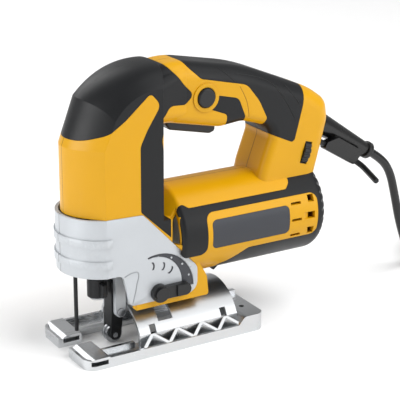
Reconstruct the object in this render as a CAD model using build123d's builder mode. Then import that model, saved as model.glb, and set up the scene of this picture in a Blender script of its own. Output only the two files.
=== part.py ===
from build123d import *
import math
import os

os.makedirs("parts", exist_ok=True)

# Jigsaw, millimetres. Origin: centre of the sole's underside. Front is -X, left side is -Y, up is +Z.

# Fits
seam_gap = 0.15
running_gap = 0.04
seat_gap = 0.2
moving_gap = 0.4
overlap = 1
beyond = 90

# Housing
housing_wall = 3.6
grip_depth = 1.8
head_half_width = 30
head_base = 80
nose_front = -73
nose_top = 158
ridge_x = -54.5
brow_round = 6
column_back = -4
handle_half_width = 21
handle_round = 12
finger_round = 7
neck_round = 9
barrel_radius = 36
barrel_axis_z = 82
barrel_back = 134
barrel_round = 9
barrel_neck = 27
skirt_bottom = 35
skirt_front = -31
skirt_back = 30
skirt_opening = 24
skirt_opening_height = 10
skirt_lip = 4
trigger_slot_front = 5
trigger_slot_back = 53
trigger_slot_bottom = 150
trigger_slot_top = 176
plate_x = 64
plate_z = 83.5
plate_length = 68
plate_height = 22
plate_corner = 4
plate_depth = 1.2
vent_levels = (68.5, 81, 93.5)
vent_front = 100
vent_slit_length = 8
vent_slit_height = 2
vent_hole = 5.4
vent_back = 121
vent_sink = 4
side_vent_front = -1
side_vent_width = 6
side_vent_bottom = 80
side_vent_top = 108
side_vent_inside = 24
scallops = 32
scallop_radius = 2.2
scallop_depth = 1
sleeve_lug_half_width = 7
sleeve_lug_points = [(42, 52), (42, 47.5), (48.5, 42.5), (54, 47), (54, 52)]
sleeve_lug_radii = [0, 2, 1.2, 2, 0]
post_radius = 4.5
screw_diameter = 4
screw_reach = 8
screw_head = 7
screw_head_height = 3

# Silver gear cover
cover_thickness = 2.6
cover_proud = 0.6
cover_nose = -76.5
cover_base = 20
cover_bottom = 64.5
cover_top = 108.5
cheek_bottom = 39.5
cover_back = 20
band_height = 6
band_depth = 1.2
band_levels = (72, 88)
band_overlap = 4

# Sole, saddle and bevel clamp
sole_length = 152
sole_width = 78
sole_floor = 4
sole_rim = 7.6
sole_rim_wall = 2.4
sole_corner = 9
toe_gap = 16.8
toe_length = 19
toe_height = 8.6
toe_ramp = 6
fork_opening = 39
fork_opening_back = 45
fork_corner = 6
ridge_width = 3
ridge_height = 6.5
truss_ribs = 8
truss_wall = 2
deck_ramp = 8
deck_hole = 4
deck_hole_x = 66
deck_hole_y = -20
deck_rib_side = 3
deck_rib_width = 4
deck_rib_height = 3
fence_slot_floor = 3.2
fence_slot = 13
fence_slot_height = 3.4
fence_slot_set = 2
saddle_front = -28.8
saddle_back = 55
saddle_radius = 34
saddle_wall = 2.5
saddle_foot_z = 14.2
deck_front = 57
deck_height = 13.5
saddle_notches = (-19.8, 41)
notch_width = 5
notch_height = 6
bevel_angle = 45
bevel_slot_x = -5
bevel_slot_width = 12
foot_half_width = 12
foot_top = 44
clamp_screw_diameter = 6
clamp_plate_wall = 3.6
clamp_plate_sweep = 15
clamp_plate_half = 17
clamp_screw_tip = 42
clamp_head_height = 5.4
clamp_head_radius = 4.8
clamp_socket_radius = 2.5
clamp_socket_depth = 3.5

# Plunger and drive
plunger_x = -47.5
plunger_diameter = 9
plunger_bottom = 50
plunger_top = 152
stroke = 20
yoke_half_width = 16
yoke_half_height = 9
yoke_slot = 28
yoke_depth = 5
clamp_bottom = 38
clamp_height = 19
clamp_diameter = 11
collar_wall = 2
collar_bottom = 40
collar_top = 54
collar_tab = 5
collar_tab_half = 2
collar_tab_margin = 2
collar_tab_round = 1
blade_slot = 1.7
blade_half_width = 3.6
bush_wall = 2.5
bush_length = 9
bush_drop = 0.5
bush_rise = 2
module = 0.85
pinion_teeth = 12
gear_teeth = 48
tooth_share = 0.44
tooth_tip = 0.9
tooth_root = -1.25
pressure_angle = 20
gear_holes = 4
gear_hole_ring = 13.5
gear_hole_radius = 4
mesh_slack = 0.35
gear_front = -30
gear_width = 8
crank_pin_diameter = 7
crank_pin_length = 5.8
pinion_bore = 6
pinion_overhang = 1
axle_diameter = 8
case_front = -57
case_back = -9
axle_boss = 5
case_roof = 5
case_wall = 3
case_half_width = 25
case_bottom = 70
case_top = 146
case_floor = 6
case_back_half = 18
case_back_chamfer = 4
case_nose_half = 13
case_nose_chamfer = 7
case_window_half = 10
case_window_margin = 12
pad_front = -40
pad_length = 20
pad_bottom = 115
bearing_lip = 0.5
foot_set = 0.5
foot_bottom = 30
foot_back = 24
foot_column_half = 10
guard_boss_half = 4
guard_boss_height = 4
guard_boss_front = 3

# Motor
shaft_diameter = 8
core_front = 38
core_length = 44
core_radius = 20
core_slots = 12
slot_depth = 8
slot_width = 3
winding_length = 8
winding_set = 1.5
winding_hub = 4
winding_round = 2
air_gap = 0.6
stator_radius = 31
coil_angle = 38
coil_inner = 21.4
coil_outer = 26.6
coil_end = 8
coil_gap_angle = 2
stator_keys = 4
stator_key_sweep = 10
stator_key_set = 6
commutator_radius = 11
commutator_front = 98
commutator_length = 13
commutator_collar = 2
commutator_lip = 1.5
fan_front = 10
fan_width = 10
fan_radius = 28
fan_blades = 16
fan_disc = 2
fan_hub = 4
fan_blade_wall = 1.6
fan_blade_lean = 20
front_bearing_radius = 11
rear_bearing_radius = 9.5
bearing_width = 7
shield_depth = 0.8
shield_share = 0.4
rear_bearing_front = 119
brush_width = 6
brush_length = 12
brush_set = 1
holder_wall = 1.2
holder_seat = 0.4

# Guide roller and fork
roller_x = -36
roller_z = 7.2
roller_radius = 6.8
roller_width = 6.4
roller_pin_diameter = 4
groove_depth = 1.6
groove_top = 2
groove_floor = 1
fork_pivot_x = -33.5
fork_pivot_z = 27
fork_pin_diameter = 4
fork_half_width = 6
fork_top = 50
fork_eye = 4
fork_arm_set = 1.5
fork_arm_width = 4
roller_room = 1
fork_pin_head = 3.2
fork_pin_head_height = 1
lug_width = 4
lug_radius = 4.2
guard_x = -65
guard_diameter = 3
guard_bottom = 15

# Hand controls
button_x = 32
button_z = 183.5
button_radius = 7.2
button_proud = 2.4
bezel_width = 3.4
bezel_proud = 0.8
trigger_half_width = 7.6
trigger_pivot_x = 12
trigger_pivot_z = 173
trigger_pin_diameter = 4
trigger_pin_set = 0.8
trigger_edge_z = 161
trigger_edge_round = 2
switch_front = 18
switch_back = 50
switch_bottom = 174
switch_height = 16
switch_half_width = 9
switch_ear_length = 6
switch_ear_margin = 3
switch_round = 1
button_flange = 1.6
button_flange_lip = 1.4
button_depth = 3
button_round = 1.5
trigger_points = [
    (8, 176), (16, 176), (20, 169), (49, 163), (48.5, 153), (44, 151.5), (10, 159), (7, 163),
]
trigger_radii = [2, 2, 3, 2, 2.5, 3, 3, 3]
selector_x = -13
selector_z = 46
selector_reach = 25
selector_radius = 7
selector_shaft_diameter = 8
lever_thickness = 5
lever_tip = 4
lever_root = 5
lever_round = 1.2
lever_rib_half = 1.5
lever_rib_height = 2
lever_rib_set = 3
selector_depth = 16
dial_radius = 14
dial_width = 5.6
dial_axle_diameter = 4
dial_grooves = 20
dial_groove_radius = 1.1
dial_groove_out = 0.4
axle_end = 2
pot_length = 8
pot_height = 12
board_y = 8
board_wall = 1.6
board_front = 100
board_back = 126
board_bottom = 122
board_top = 145
board_posts = (104, 121)
board_post_z = 141
board_post_radius = 2.5
pot_reach = 15
dial_centre = Vector(121.5, -9.5, 128.5)
dial_axis = Vector(0.96, 0, -0.28)

# Cord, its sleeve and the hex key clipped beside it
cord_diameter = 7
sleeve_root = Vector(138, 0, 148.6)
sleeve_tip = Vector(198, 0, 112.5)
sleeve_root_radius = 7
sleeve_tip_radius = 5.4
sleeve_collar = 10.6
collar_radius = 9
stub_length = 16
flange_width = 5.2
flange_radius = 7.6
flange_set = 2.2
clamp_span = 26
end_ring = 5
end_ring_radius = 7
web_front = 27
web_back = 56
web_width = 7
web_root = 3
web_below = 3.6
web_above = 2
web_run_in = 8
stub_wall = 0.5
cord_clamp_rim = 3
cord_clamp_corner = 2
cord_clamp_set = 1
key_size = 4
key_offset = 12.5
key_side = -8
key_front = 11.5
key_reach = 61
key_short_leg = 28
key_bend_radius = 8
key_droop = 16
corner_share = 0.45
route_points = [
    (211.71, 0, 104.25), (221.8, 0, 91), (228, 0, 70), (233.6, 0, 48.5), (241.2, 0, 27.8), (248.4, 3.2, 16.8),
    (257.4, 9.3, 8.8), (267.2, 17.5, 4.5), (277.1, 27.4, 4.5),
]
coil_turns = 2.25
climb_turns = 0.5
lift_turns = 0.375
coil_layers = 3
coil_pitch = 7.8
coil_rise = 7.6
coil_inner_radius = 31
coil_lead = 7
arcs_per_turn = 4
gap_samples = 1200
tie_width = 12
tie_wall = 0.6
tie_gap = 0.4
plug_length = 36
plug_shoulder = 14
plug_width = 34
plug_height = 24
plug_corner = 8
plug_neck_width = 15
plug_neck_height = 14
plug_neck_corner = 5
pin_diameter = 4
pin_length = 19
pin_spacing = 19

# Side-view outlines, front to the left
handle_points = [
    (-22, 168), (-22, 205), (12, 211.5), (70, 200.5), (128, 177), (143, 166.5), (145.5, 152), (138, 122),
    (131, 96), (76, 96), (82, 121), (92, 148.5), (84, 155), (66, 160.5), (46, 158.5), (4, 167.5),
]
handle_radii = [0, 0, 60, 150, 60, 13, 20, 30, 0, 0, 20, 10, 20, 20, 20, 20]
skirt_points = [
    (skirt_front, skirt_bottom), (skirt_back, skirt_bottom), (skirt_back - 1.5, 50), (22, 62), (22, 100),
    (skirt_front, 100),
]
cover_points = [
    (-90, cover_bottom), (-42, cover_bottom), (-36, cheek_bottom), (cover_back, cheek_bottom),
    (cover_back, 60), (-25, 107.5), (-54, cover_top), (-90, cover_top),
]
cover_radii = [0, 5, 3, 9, 8, 4, 4, 0]
nose_grip_points = [
    (-90, 163), (-66, 164), (-52, 169), (-38, 178), (-18, 195), (-10, 186), (-21, 169), (-26.5, 158),
    (-26.5, 109.5), (-2, 86), (-2, 112), (-9, 160), (-6, 173), (1, 182), (15, 180.5), (22, 187), (13, 196),
    (-3, 216), (-20, 226), (-90, 226),
]
nose_grip_radii = [0, 30, 30, 30, 3, 6, 20, 10, 3, 0, 30, 10, 10, 6, 4, 4, 10, 0, 0, 0]
handle_grip_points = [
    (9, 222), (19, 206), (28, 197.5), (67, 188.5), (78, 175), (85, 161), (80, 146), (88, 148), (110, 138),
    (117, 165), (119, 178), (122, 200), (60, 226),
]
handle_grip_radii = [0, 10, 6, 12, 30, 4, 0, 6, 3, 30, 10, 0, 0]
pad_points = [(41, 184), (60, 179.5), (66, 165), (67, 150), (50, 150), (50, 168.5), (36, 174)]
pad_radii = [2, 7, 3, 0, 0, 3, 2]
sleeve_grip_points = [
    (5, 111), (14, 105), (99, 105), (104, 109), (106, 130), (150, 130), (150, 30), (42, 30), (42, 54),
    (49, 57.5), (63, 67), (124, 67), (124, 100), (26, 100), (26, 69), (5, 69),
]
sleeve_grip_radii = [4, 3, 4, 4, 0, 0, 0, 0, 3, 6, 6, 6, 6, 6, 6, 4]
screw_places = [(-64, 128, 11), (-18, 166, 22), (72, 181, 13), (112, 162, 13), (25, 56, 18), (114, 55, 16)]


def keep(part, name):
    """Name a finished piece and write it out."""
    part.label = name
    export_step(part, f"parts/{name}.step")


def side_outline(points, radii):
    """A closed side-view face with rounded corners."""
    with BuildSketch(Plane.XZ, mode=Mode.PRIVATE) as face:
        with BuildLine():
            FilletPolyline(*points, radius=radii, close=True)
        make_face()
    return face.sketch


def through(outline, half_width=60):
    """A side-view outline pushed through the width of the tool."""
    return extrude(outline, amount=half_width, both=True, mode=Mode.PRIVATE)


def rod(start, end, radius):
    """A round bar between two points."""
    direction = Vector(end) - Vector(start)
    with BuildPart(Plane(origin=start, z_dir=direction), mode=Mode.PRIVATE) as bar:
        Cylinder(radius, direction.length, align=(Align.CENTER, Align.CENTER, Align.MIN))
    return bar.part


def ring(start, end, outer, inner):
    """A round sleeve between two points."""
    direction = Vector(end) - Vector(start)
    with BuildPart(Plane(origin=start, z_dir=direction), mode=Mode.PRIVATE) as sleeve:
        Cylinder(outer, direction.length, align=(Align.CENTER, Align.CENTER, Align.MIN))
        Cylinder(inner, direction.length, align=(Align.CENTER, Align.CENTER, Align.MIN), mode=Mode.SUBTRACT)
    return sleeve.part


def block(low, high):
    """A rectangular block between two corners."""
    size = Vector(high) - Vector(low)
    with BuildPart(Plane(origin=low), mode=Mode.PRIVATE) as solid:
        Box(size.X, size.Y, size.Z, align=(Align.MIN, Align.MIN, Align.MIN))
    return solid.part


def on_shaft(x):
    """A point on the motor axis."""
    return (x, 0, barrel_axis_z)


def head_section(y, front, brow, crown, back, inset):
    """One slice of the head: upright nose, leaning brow and rising crown."""
    with BuildSketch(Plane.XZ.offset(-y), mode=Mode.PRIVATE) as slice_face:
        with BuildLine():
            nose = Line((front + inset, head_base), (front + inset, nose_top))
            lean = Line(nose @ 1, (brow[0] + inset, brow[1] - inset))
            middle = ((brow[0] + back) / 2 - 5, brow[1] + 0.72 * (crown - brow[1]) - inset)
            top = ThreePointArc(lean @ 1, middle, (back - inset, crown - inset))
            rear = Line(top @ 1, (back - inset, head_base))
            Line(rear @ 1, nose @ 0)
        make_face()
        corner = (brow[0] + inset, y, brow[1] - inset)
        fillet(slice_face.vertices().sort_by_distance(corner)[0], brow_round)
    return slice_face.sketch


def neck_section(x, centre_z, half_width, height, inset):
    """One slice of the neck, where the head narrows to the handle."""
    with BuildSketch(Plane.YZ.offset(x), mode=Mode.PRIVATE) as slice_face:
        with Locations((0, centre_z)):
            RectangleRounded(2 * (half_width - inset), height - 2 * inset, neck_round - inset)
    return slice_face.sketch


def on_finger_side(edge, half_width):
    """True for the long side edges that run round the finger opening."""
    middle = edge @ 0.5
    inside = -20 < middle.X < 95 and 110 < middle.Z < 170
    return inside and abs(abs(middle.Y) - half_width) < 0.01


def on_outer_side(edge, half_width):
    """True for the side edges along the top and the rear of the handle."""
    middle = edge @ 0.5
    outer = middle.Z > 180 or middle.X > 120
    return outer and middle.Z > 100 and middle.X > -18 and abs(abs(middle.Y) - half_width) < 0.01


def handle_form(inset):
    """The handle bar and rear post, rounded along its top and along the finger side."""
    with BuildPart(mode=Mode.PRIVATE) as bar:
        with BuildSketch(Plane.XZ):
            add(side_outline(handle_points, handle_radii))
            if inset:
                offset(amount=-inset, kind=Kind.INTERSECTION, mode=Mode.REPLACE)
        extrude(amount=handle_half_width - inset, both=True)
        finger = bar.edges().filter_by(lambda e: on_finger_side(e, handle_half_width - inset))
        fillet(finger, finger_round - inset)
        outside = bar.edges().filter_by(lambda e: on_outer_side(e, handle_half_width - inset))
        fillet(outside, handle_round - inset)
    return bar.part


def barrel_form(inset):
    """The round motor barrel with its shoulder and rounded rear end."""
    with BuildPart(mode=Mode.PRIVATE) as barrel:
        with BuildSketch(Plane.XZ):
            with BuildLine():
                FilletPolyline(
                    (-20 + inset, barrel_axis_z),
                    (-20 + inset, barrel_axis_z + barrel_neck - inset),
                    (-2, barrel_axis_z + barrel_neck - inset),
                    (7, barrel_axis_z + barrel_radius - inset),
                    (barrel_back - inset, barrel_axis_z + barrel_radius - inset),
                    (barrel_back - inset, barrel_axis_z),
                    radius=[0, 0, 0, 4, barrel_round - inset, 0], close=True)
            make_face()
        revolve(axis=Axis((0, 0, barrel_axis_z), (1, 0, 0)))
    return barrel.part


def skirt_form(inset):
    """The square lower body that stands over the sole."""
    with BuildPart(mode=Mode.PRIVATE) as skirt:
        with BuildSketch(Plane.XZ):
            add(side_outline(skirt_points, [0, 2, 4, 4, 0, 0]))
            if inset:
                offset(amount=-inset, kind=Kind.INTERSECTION, mode=Mode.REPLACE)
        extrude(amount=head_half_width - inset, both=True)
    return skirt.part


def body_form(inset):
    """The outer form of the housing, shrunk by an inset for the grips and for the hollow inside."""
    flank = head_half_width - inset
    with BuildPart(mode=Mode.PRIVATE) as form:
        loft([
            head_section(-flank, ridge_x, (-46, 178), 197, column_back - 4, inset),
            head_section(-17, -66.5, (-55, 188.5), 210, column_back, inset),
            head_section(0, nose_front, (-60, 191), 212, column_back + 1, inset),
            head_section(17, -66.5, (-55, 188.5), 210, column_back, inset),
            head_section(flank, ridge_x, (-46, 178), 197, column_back - 4, inset),
        ])
        loft([
            neck_section(-24, 184, head_half_width - 0.8, 28, inset),
            neck_section(16, 188, handle_half_width, 42, inset),
        ])
        add(skirt_form(inset))
        add(handle_form(inset))
        add(barrel_form(inset))
    return form.part


# Shells: one outer form, its hollow, and the skin that the soft grips take
body = body_form(0)
hollow = body_form(housing_wall)
with BuildPart() as grip_bed:
    add(body)
    add(body_form(grip_depth), mode=Mode.SUBTRACT)
with BuildPart() as grip_skin:
    add(body)
    add(body_form(grip_depth - seam_gap), mode=Mode.SUBTRACT)
with BuildPart() as sleeve_bed:
    add(barrel_form(0))
    add(barrel_form(grip_depth), mode=Mode.SUBTRACT)
    add(handle_form(0), mode=Mode.SUBTRACT)
    add(skirt_form(0), mode=Mode.SUBTRACT)
with BuildPart() as sleeve_skin:
    add(barrel_form(0))
    add(barrel_form(grip_depth - seam_gap), mode=Mode.SUBTRACT)
    add(handle_form(0), mode=Mode.SUBTRACT)
    add(skirt_form(0), mode=Mode.SUBTRACT)
grips = [
    ("nose_grip", nose_grip_points, nose_grip_radii, grip_bed, grip_skin),
    ("handle_grip", handle_grip_points, handle_grip_radii, grip_bed, grip_skin),
    ("finger_pad", pad_points, pad_radii, grip_bed, grip_skin),
    ("motor_sleeve", sleeve_grip_points, sleeve_grip_radii, sleeve_bed, sleeve_skin),
]
trigger_room = trigger_half_width + moving_gap
trigger_slot = block((trigger_slot_front, -trigger_room, trigger_slot_bottom),
                     (trigger_slot_back, trigger_room, trigger_slot_top))
recesses = []
for name, points, radii, bed, skin in grips:
    with BuildPart() as recess:
        add(bed.part)
        add(through(side_outline(points, radii)), mode=Mode.INTERSECT)
    recesses.append(recess.part)

# Plain oblong plate let into the left side of the motor
with BuildSketch(Plane.XZ) as plate_outline:
    with Locations((plate_x, plate_z)):
        RectangleRounded(plate_length, plate_height, plate_corner)
with BuildSketch(Plane.XZ) as plate_inside:
    add(plate_outline.sketch)
    offset(amount=-seam_gap, mode=Mode.REPLACE)
with BuildPart() as plate_bed:
    add(barrel_form(0))
    add(barrel_form(plate_depth), mode=Mode.SUBTRACT)
    add(through(plate_outline.sketch), mode=Mode.INTERSECT)
with BuildPart() as side_plate:
    add(barrel_form(0))
    add(barrel_form(plate_depth - seam_gap), mode=Mode.SUBTRACT)
    add(through(plate_inside.sketch), mode=Mode.INTERSECT)
    split(bisect_by=Plane.XZ, keep=Keep.TOP)
keep(side_plate.part, "side_plate")

# Screws that draw the halves together from the right, and the room that each one takes
with BuildPart() as screws:
    for x, z, seat in screw_places:
        add(rod((x, -screw_reach, z), (x, seat, z), screw_diameter / 2))
        add(rod((x, seat, z), (x, seat + screw_head_height, z), screw_head / 2))
keep(screws.part, "housing_screws")
with BuildPart() as screw_room:
    for x, z, seat in screw_places:
        add(rod((x, -screw_reach - seat_gap, z), (x, seat, z), screw_diameter / 2 + seam_gap))
        add(rod((x, seat, z), (x, barrel_radius, z), screw_head / 2 + seat_gap))

# Vents: three slits on each flank that scoop inward to a square hole, and a tall one behind the head
with BuildPart() as scoop:
    with BuildSketch():
        with BuildLine():
            Polyline(
                (vent_front + vent_slit_length, -barrel_radius - overlap), (vent_back, -barrel_radius - overlap),
                (vent_back, vent_sink - barrel_radius), close=True)
        make_face()
    extrude(amount=vent_hole)
    add(block((vent_front, -barrel_radius, 0), (vent_front + vent_slit_length + overlap, 0, vent_slit_height)))
    add(block((vent_back - vent_hole, -barrel_radius, 0), (vent_back, 0, vent_hole)))
    mirror(about=Plane.XZ)
with BuildPart() as vents:
    with Locations(*[(0, 0, level) for level in vent_levels]):
        add(scoop.part)
    add(block((side_vent_front, side_vent_inside, side_vent_bottom),
              (side_vent_front + side_vent_width, beyond, side_vent_top)))
    add(block((side_vent_front, -beyond, side_vent_bottom),
              (side_vent_front + side_vent_width, -side_vent_inside, side_vent_top)))

# Housing, still whole: walls, screw posts, rear bearing seat and every cut that both halves share
cover_region = side_outline(cover_points, cover_radii)
with BuildPart() as posts:
    for x, z, seat in screw_places:
        add(rod((x, -head_half_width, z), (x, head_half_width, z), post_radius))
    add(rod(on_shaft(rear_bearing_front), on_shaft(barrel_back), rear_bearing_radius + case_wall))
    add(hollow, mode=Mode.INTERSECT)
with BuildPart() as housing:
    add(body)
    add(hollow, mode=Mode.SUBTRACT)
    add(posts.part)
    add(through(cover_region), mode=Mode.SUBTRACT)
    for recess in recesses:
        add(recess, mode=Mode.SUBTRACT)
    bearing_end = on_shaft(rear_bearing_front + bearing_width)
    bearing_start = on_shaft(rear_bearing_front - overlap)
    add(rod(bearing_start, bearing_end, rear_bearing_radius + seat_gap), mode=Mode.SUBTRACT)
    add(block((skirt_front - skirt_opening_height, -skirt_opening, skirt_bottom - skirt_opening_height),
              (skirt_back - skirt_lip, skirt_opening, skirt_bottom + skirt_opening_height)), mode=Mode.SUBTRACT)
    add(trigger_slot, mode=Mode.SUBTRACT)
    neck_start = sleeve_root - (sleeve_tip - sleeve_root).normalized() * (flange_set + overlap)
    add(rod(neck_start, sleeve_tip, sleeve_root_radius + seat_gap), mode=Mode.SUBTRACT)
    add(screw_room.part, mode=Mode.SUBTRACT)
    add(vents.part, mode=Mode.SUBTRACT)

bezel_face = (button_x, -handle_half_width - bezel_proud, button_z)
bezel_root = (button_x, -handle_half_width + housing_wall / 2, button_z)
with BuildPart() as housing_left:
    add(housing.part)
    split(bisect_by=Plane.XZ, keep=Keep.TOP)
    add(plate_bed.part, mode=Mode.SUBTRACT)
    add(rod(bezel_root, bezel_face, button_radius + bezel_width))
    add(rod((button_x, 0, button_z), (button_x, -beyond, button_z), button_radius + moving_gap),
        mode=Mode.SUBTRACT)
    dial_half = dial_axis * (dial_width / 2 + moving_gap)
    dial_room = rod(dial_centre - dial_half, dial_centre + dial_half, dial_radius + moving_gap)
    add(dial_room, mode=Mode.SUBTRACT)
keep(housing_left.part, "housing_left")
with BuildPart() as housing_right:
    add(housing.part)
    split(bisect_by=Plane.XZ, keep=Keep.BOTTOM)
keep(housing_right.part, "housing_right")


# Soft grips: scallops round the rear of the motor sleeve and a pointed lug under it, then both halves of each
rear_ring = barrel_radius - barrel_round * (1 - math.sqrt(0.5))
scallop_out = (scallop_radius - scallop_depth) * math.sqrt(0.5)
with BuildPart() as rear_scallops:
    for i in range(scallops):
        angle = math.radians(360 * (i + 0.5) / scallops)
        outward = Vector(0, math.cos(angle), math.sin(angle))
        middle = Vector(barrel_back - barrel_radius + rear_ring + scallop_out, 0, barrel_axis_z)
        middle = middle + outward * (rear_ring + scallop_out)
        along = (outward - Vector(1, 0, 0)) * barrel_round
        add(rod(middle - along, middle + along, scallop_radius))
with BuildPart() as sleeve_lug:
    add(through(side_outline(sleeve_lug_points, sleeve_lug_radii), sleeve_lug_half_width))
    add(barrel_form(grip_depth - seam_gap), mode=Mode.SUBTRACT)
for name, points, radii, bed, skin in grips:
    with BuildSketch(Plane.XZ) as region:
        add(side_outline(points, radii))
        offset(amount=-seam_gap, mode=Mode.REPLACE)
    with BuildPart() as grip:
        add(skin.part)
        add(through(region.sketch), mode=Mode.INTERSECT)
        add(screw_room.part, mode=Mode.SUBTRACT)
        add(rod(bezel_root, bezel_face, button_radius + bezel_width + seam_gap), mode=Mode.SUBTRACT)
        add(trigger_slot, mode=Mode.SUBTRACT)
        if name == "motor_sleeve":
            add(sleeve_lug.part)
            add(rear_scallops.part, mode=Mode.SUBTRACT)
    for side, where in (("left", Keep.TOP), ("right", Keep.BOTTOM)):
        with BuildPart() as grip_half:
            add(grip.part)
            split(bisect_by=Plane.XZ, keep=where)
        keep(grip_half.part, f"{name}_{side}")


def cover_form(growth):
    """The gear cover as an upright solid with a round nose, grown or shrunk all round."""
    side = head_half_width + cover_proud + growth
    with BuildPart(mode=Mode.PRIVATE) as form:
        with BuildSketch(Plane.XY.offset(cover_base)):
            with BuildLine():
                left = Line((beyond, -side), (ridge_x, -side))
                nose = ThreePointArc(left @ 1, (cover_nose - growth, 0), (ridge_x, side))
                right = Line(nose @ 1, (beyond, side))
                Line(right @ 1, left @ 0)
            make_face()
        extrude(amount=cover_top)
    return form.part


# Silver gear cover with two raised bands round the nose
cover_face = head_half_width + cover_proud
with BuildSketch(Plane.XZ) as cover_inside:
    add(cover_region)
    offset(amount=-seam_gap, mode=Mode.REPLACE)
with BuildPart() as band_room:
    for level in band_levels:
        add(block((-beyond, -beyond, level), (ridge_x + band_overlap, beyond, level + band_height)))
with BuildPart() as cover_bands:
    add(cover_form(band_depth))
    add(band_room.part, mode=Mode.INTERSECT)
with BuildPart() as cover:
    add(cover_form(0))
    add(through(cover_inside.sketch), mode=Mode.INTERSECT)
    add(cover_bands.part)
    add(cover_form(-cover_thickness), mode=Mode.SUBTRACT)
with BuildPart() as gear_cover_left:
    add(cover.part)
    split(bisect_by=Plane.XZ, keep=Keep.TOP)
    selector_room = selector_shaft_diameter / 2 + moving_gap
    add(rod((selector_x, 0, selector_z), (selector_x, -beyond, selector_z), selector_room), mode=Mode.SUBTRACT)
keep(gear_cover_left.part, "gear_cover_left")
with BuildPart() as gear_cover_right:
    add(cover.part)
    split(bisect_by=Plane.XZ, keep=Keep.BOTTOM)
keep(gear_cover_right.part, "gear_cover_right")


def wedge(start_x, length, half_angle):
    """A wedge that opens upward from the tilt axis."""
    reach = 2 * saddle_radius
    side = reach * math.tan(math.radians(half_angle))
    with BuildPart(mode=Mode.PRIVATE) as made:
        with BuildSketch(Plane.YZ.offset(start_x)):
            with BuildLine():
                Polyline((0, 0), (side, reach), (-side, reach), close=True)
            make_face()
        extrude(amount=length)
    return made.part


# Sole: a plate with a forked front, side rims, raised toes, a truss along each flank and a rear deck
sole_front = -sole_length / 2
sole_end = sole_length / 2
sole_side = sole_width / 2
toe_back = sole_front + toe_length
foot_outer = math.sqrt(saddle_radius**2 - saddle_foot_z**2)
foot_inner = math.sqrt((saddle_radius - saddle_wall)**2 - saddle_foot_z**2)
saddle_length = saddle_back - saddle_front
toe_profile = side_outline(
    [(sole_front, 0), (sole_front, sole_floor), (sole_front + toe_ramp, toe_height), (toe_back, toe_height),
     (toe_back, 0)],
    [0, 1, 4, 1.5, 0])
deck_profile = side_outline(
    [(deck_front - deck_ramp, 0), (deck_front - deck_ramp, sole_floor), (deck_front, deck_height),
     (sole_end, deck_height), (sole_end, 0)], [0, 2, 4, 1.5, 0])
with BuildSketch() as sole_outline:
    RectangleRounded(sole_length, sole_width, sole_corner)
with BuildSketch(Plane.XY.offset(sole_floor)) as sole_tray:
    RectangleRounded(
        sole_length - 2 * sole_rim_wall, sole_width - 2 * sole_rim_wall, sole_corner - sole_rim_wall)
with BuildSketch() as sole_fork:
    with Locations((sole_front, 0)):
        Rectangle(2 * (toe_length + overlap), toe_gap)
    with Locations(((toe_back + fork_opening_back) / 2, 0)):
        RectangleRounded(fork_opening_back - toe_back, fork_opening, fork_corner)
with BuildPart() as sole_ends:
    add(through(toe_profile))
    add(through(deck_profile))
    add(extrude(sole_outline.sketch, amount=deck_height, mode=Mode.PRIVATE), mode=Mode.INTERSECT)
with BuildPart() as truss:
    with BuildSketch():
        with BuildLine():
            steps = [saddle_front + i * saddle_length / truss_ribs for i in range(truss_ribs + 1)]
            Polyline(*[(x, foot_outer if i % 2 else sole_side - truss_wall / 2) for i, x in enumerate(steps)])
        trace(line_width=truss_wall)
    extrude(amount=saddle_foot_z)
    mirror(about=Plane.XZ)
    with BuildSketch(Plane.YZ.offset(saddle_front)):
        with BuildLine():
            flank_top = (sole_side - sole_rim_wall / 2, sole_rim)
            Polyline(
                (0, 0), (0, saddle_foot_z), (foot_outer, saddle_foot_z), flank_top, (flank_top[0], 0), close=True)
        make_face()
        mirror(about=Plane.YZ)
    extrude(amount=saddle_length, mode=Mode.INTERSECT)
with BuildPart() as sole_plate:
    add(extrude(sole_outline.sketch, amount=sole_rim, mode=Mode.PRIVATE))
    add(extrude(sole_tray.sketch, amount=sole_rim, mode=Mode.PRIVATE), mode=Mode.SUBTRACT)
    add(sole_ends.part)
    add(truss.part)
    for inner, outer, start, stop, height in (
            (fork_opening / 2, fork_opening / 2 + ridge_width, toe_back, saddle_front, ridge_height),
            (foot_inner, foot_outer, saddle_front, saddle_back, saddle_foot_z)):
        add(block((start, inner, 0), (stop, outer, height)))
        add(block((start, -outer, 0), (stop, -inner, height)))
    add(block((deck_front + deck_rib_side, deck_rib_side, deck_height - overlap),
              (sole_end - overlap, deck_rib_side + deck_rib_width, deck_height + deck_rib_height)))
    add(extrude(sole_fork.sketch, amount=deck_height, mode=Mode.PRIVATE), mode=Mode.SUBTRACT)
    with Locations((deck_hole_x, deck_hole_y, deck_height)):
        Hole(deck_hole / 2)
    slot_back = toe_back - fence_slot_set
    add(block((slot_back - fence_slot, -sole_width, fence_slot_floor),
              (slot_back, sole_width, fence_slot_floor + fence_slot_height)), mode=Mode.SUBTRACT)
keep(sole_plate.part, "sole_plate")

# Saddle: a bright curved bridge that the tool rolls on when it tilts
slot_angle = bevel_angle + math.degrees(math.asin(bevel_slot_width / 3 / saddle_radius))
with BuildPart() as saddle:
    add(ring((saddle_front, 0, 0), (saddle_back, 0, 0), saddle_radius, saddle_radius - saddle_wall))
    add(block((saddle_front, -saddle_radius, saddle_foot_z), (saddle_back, saddle_radius, saddle_radius)),
        mode=Mode.INTERSECT)
    add(wedge(bevel_slot_x - bevel_slot_width / 2, bevel_slot_width, slot_angle), mode=Mode.SUBTRACT)
    for notch_x in saddle_notches:
        add(block((notch_x, -saddle_radius, saddle_foot_z),
                  (notch_x + notch_width, saddle_radius, saddle_foot_z + notch_height)), mode=Mode.SUBTRACT)
keep(saddle.part, "bevel_saddle")

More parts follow.
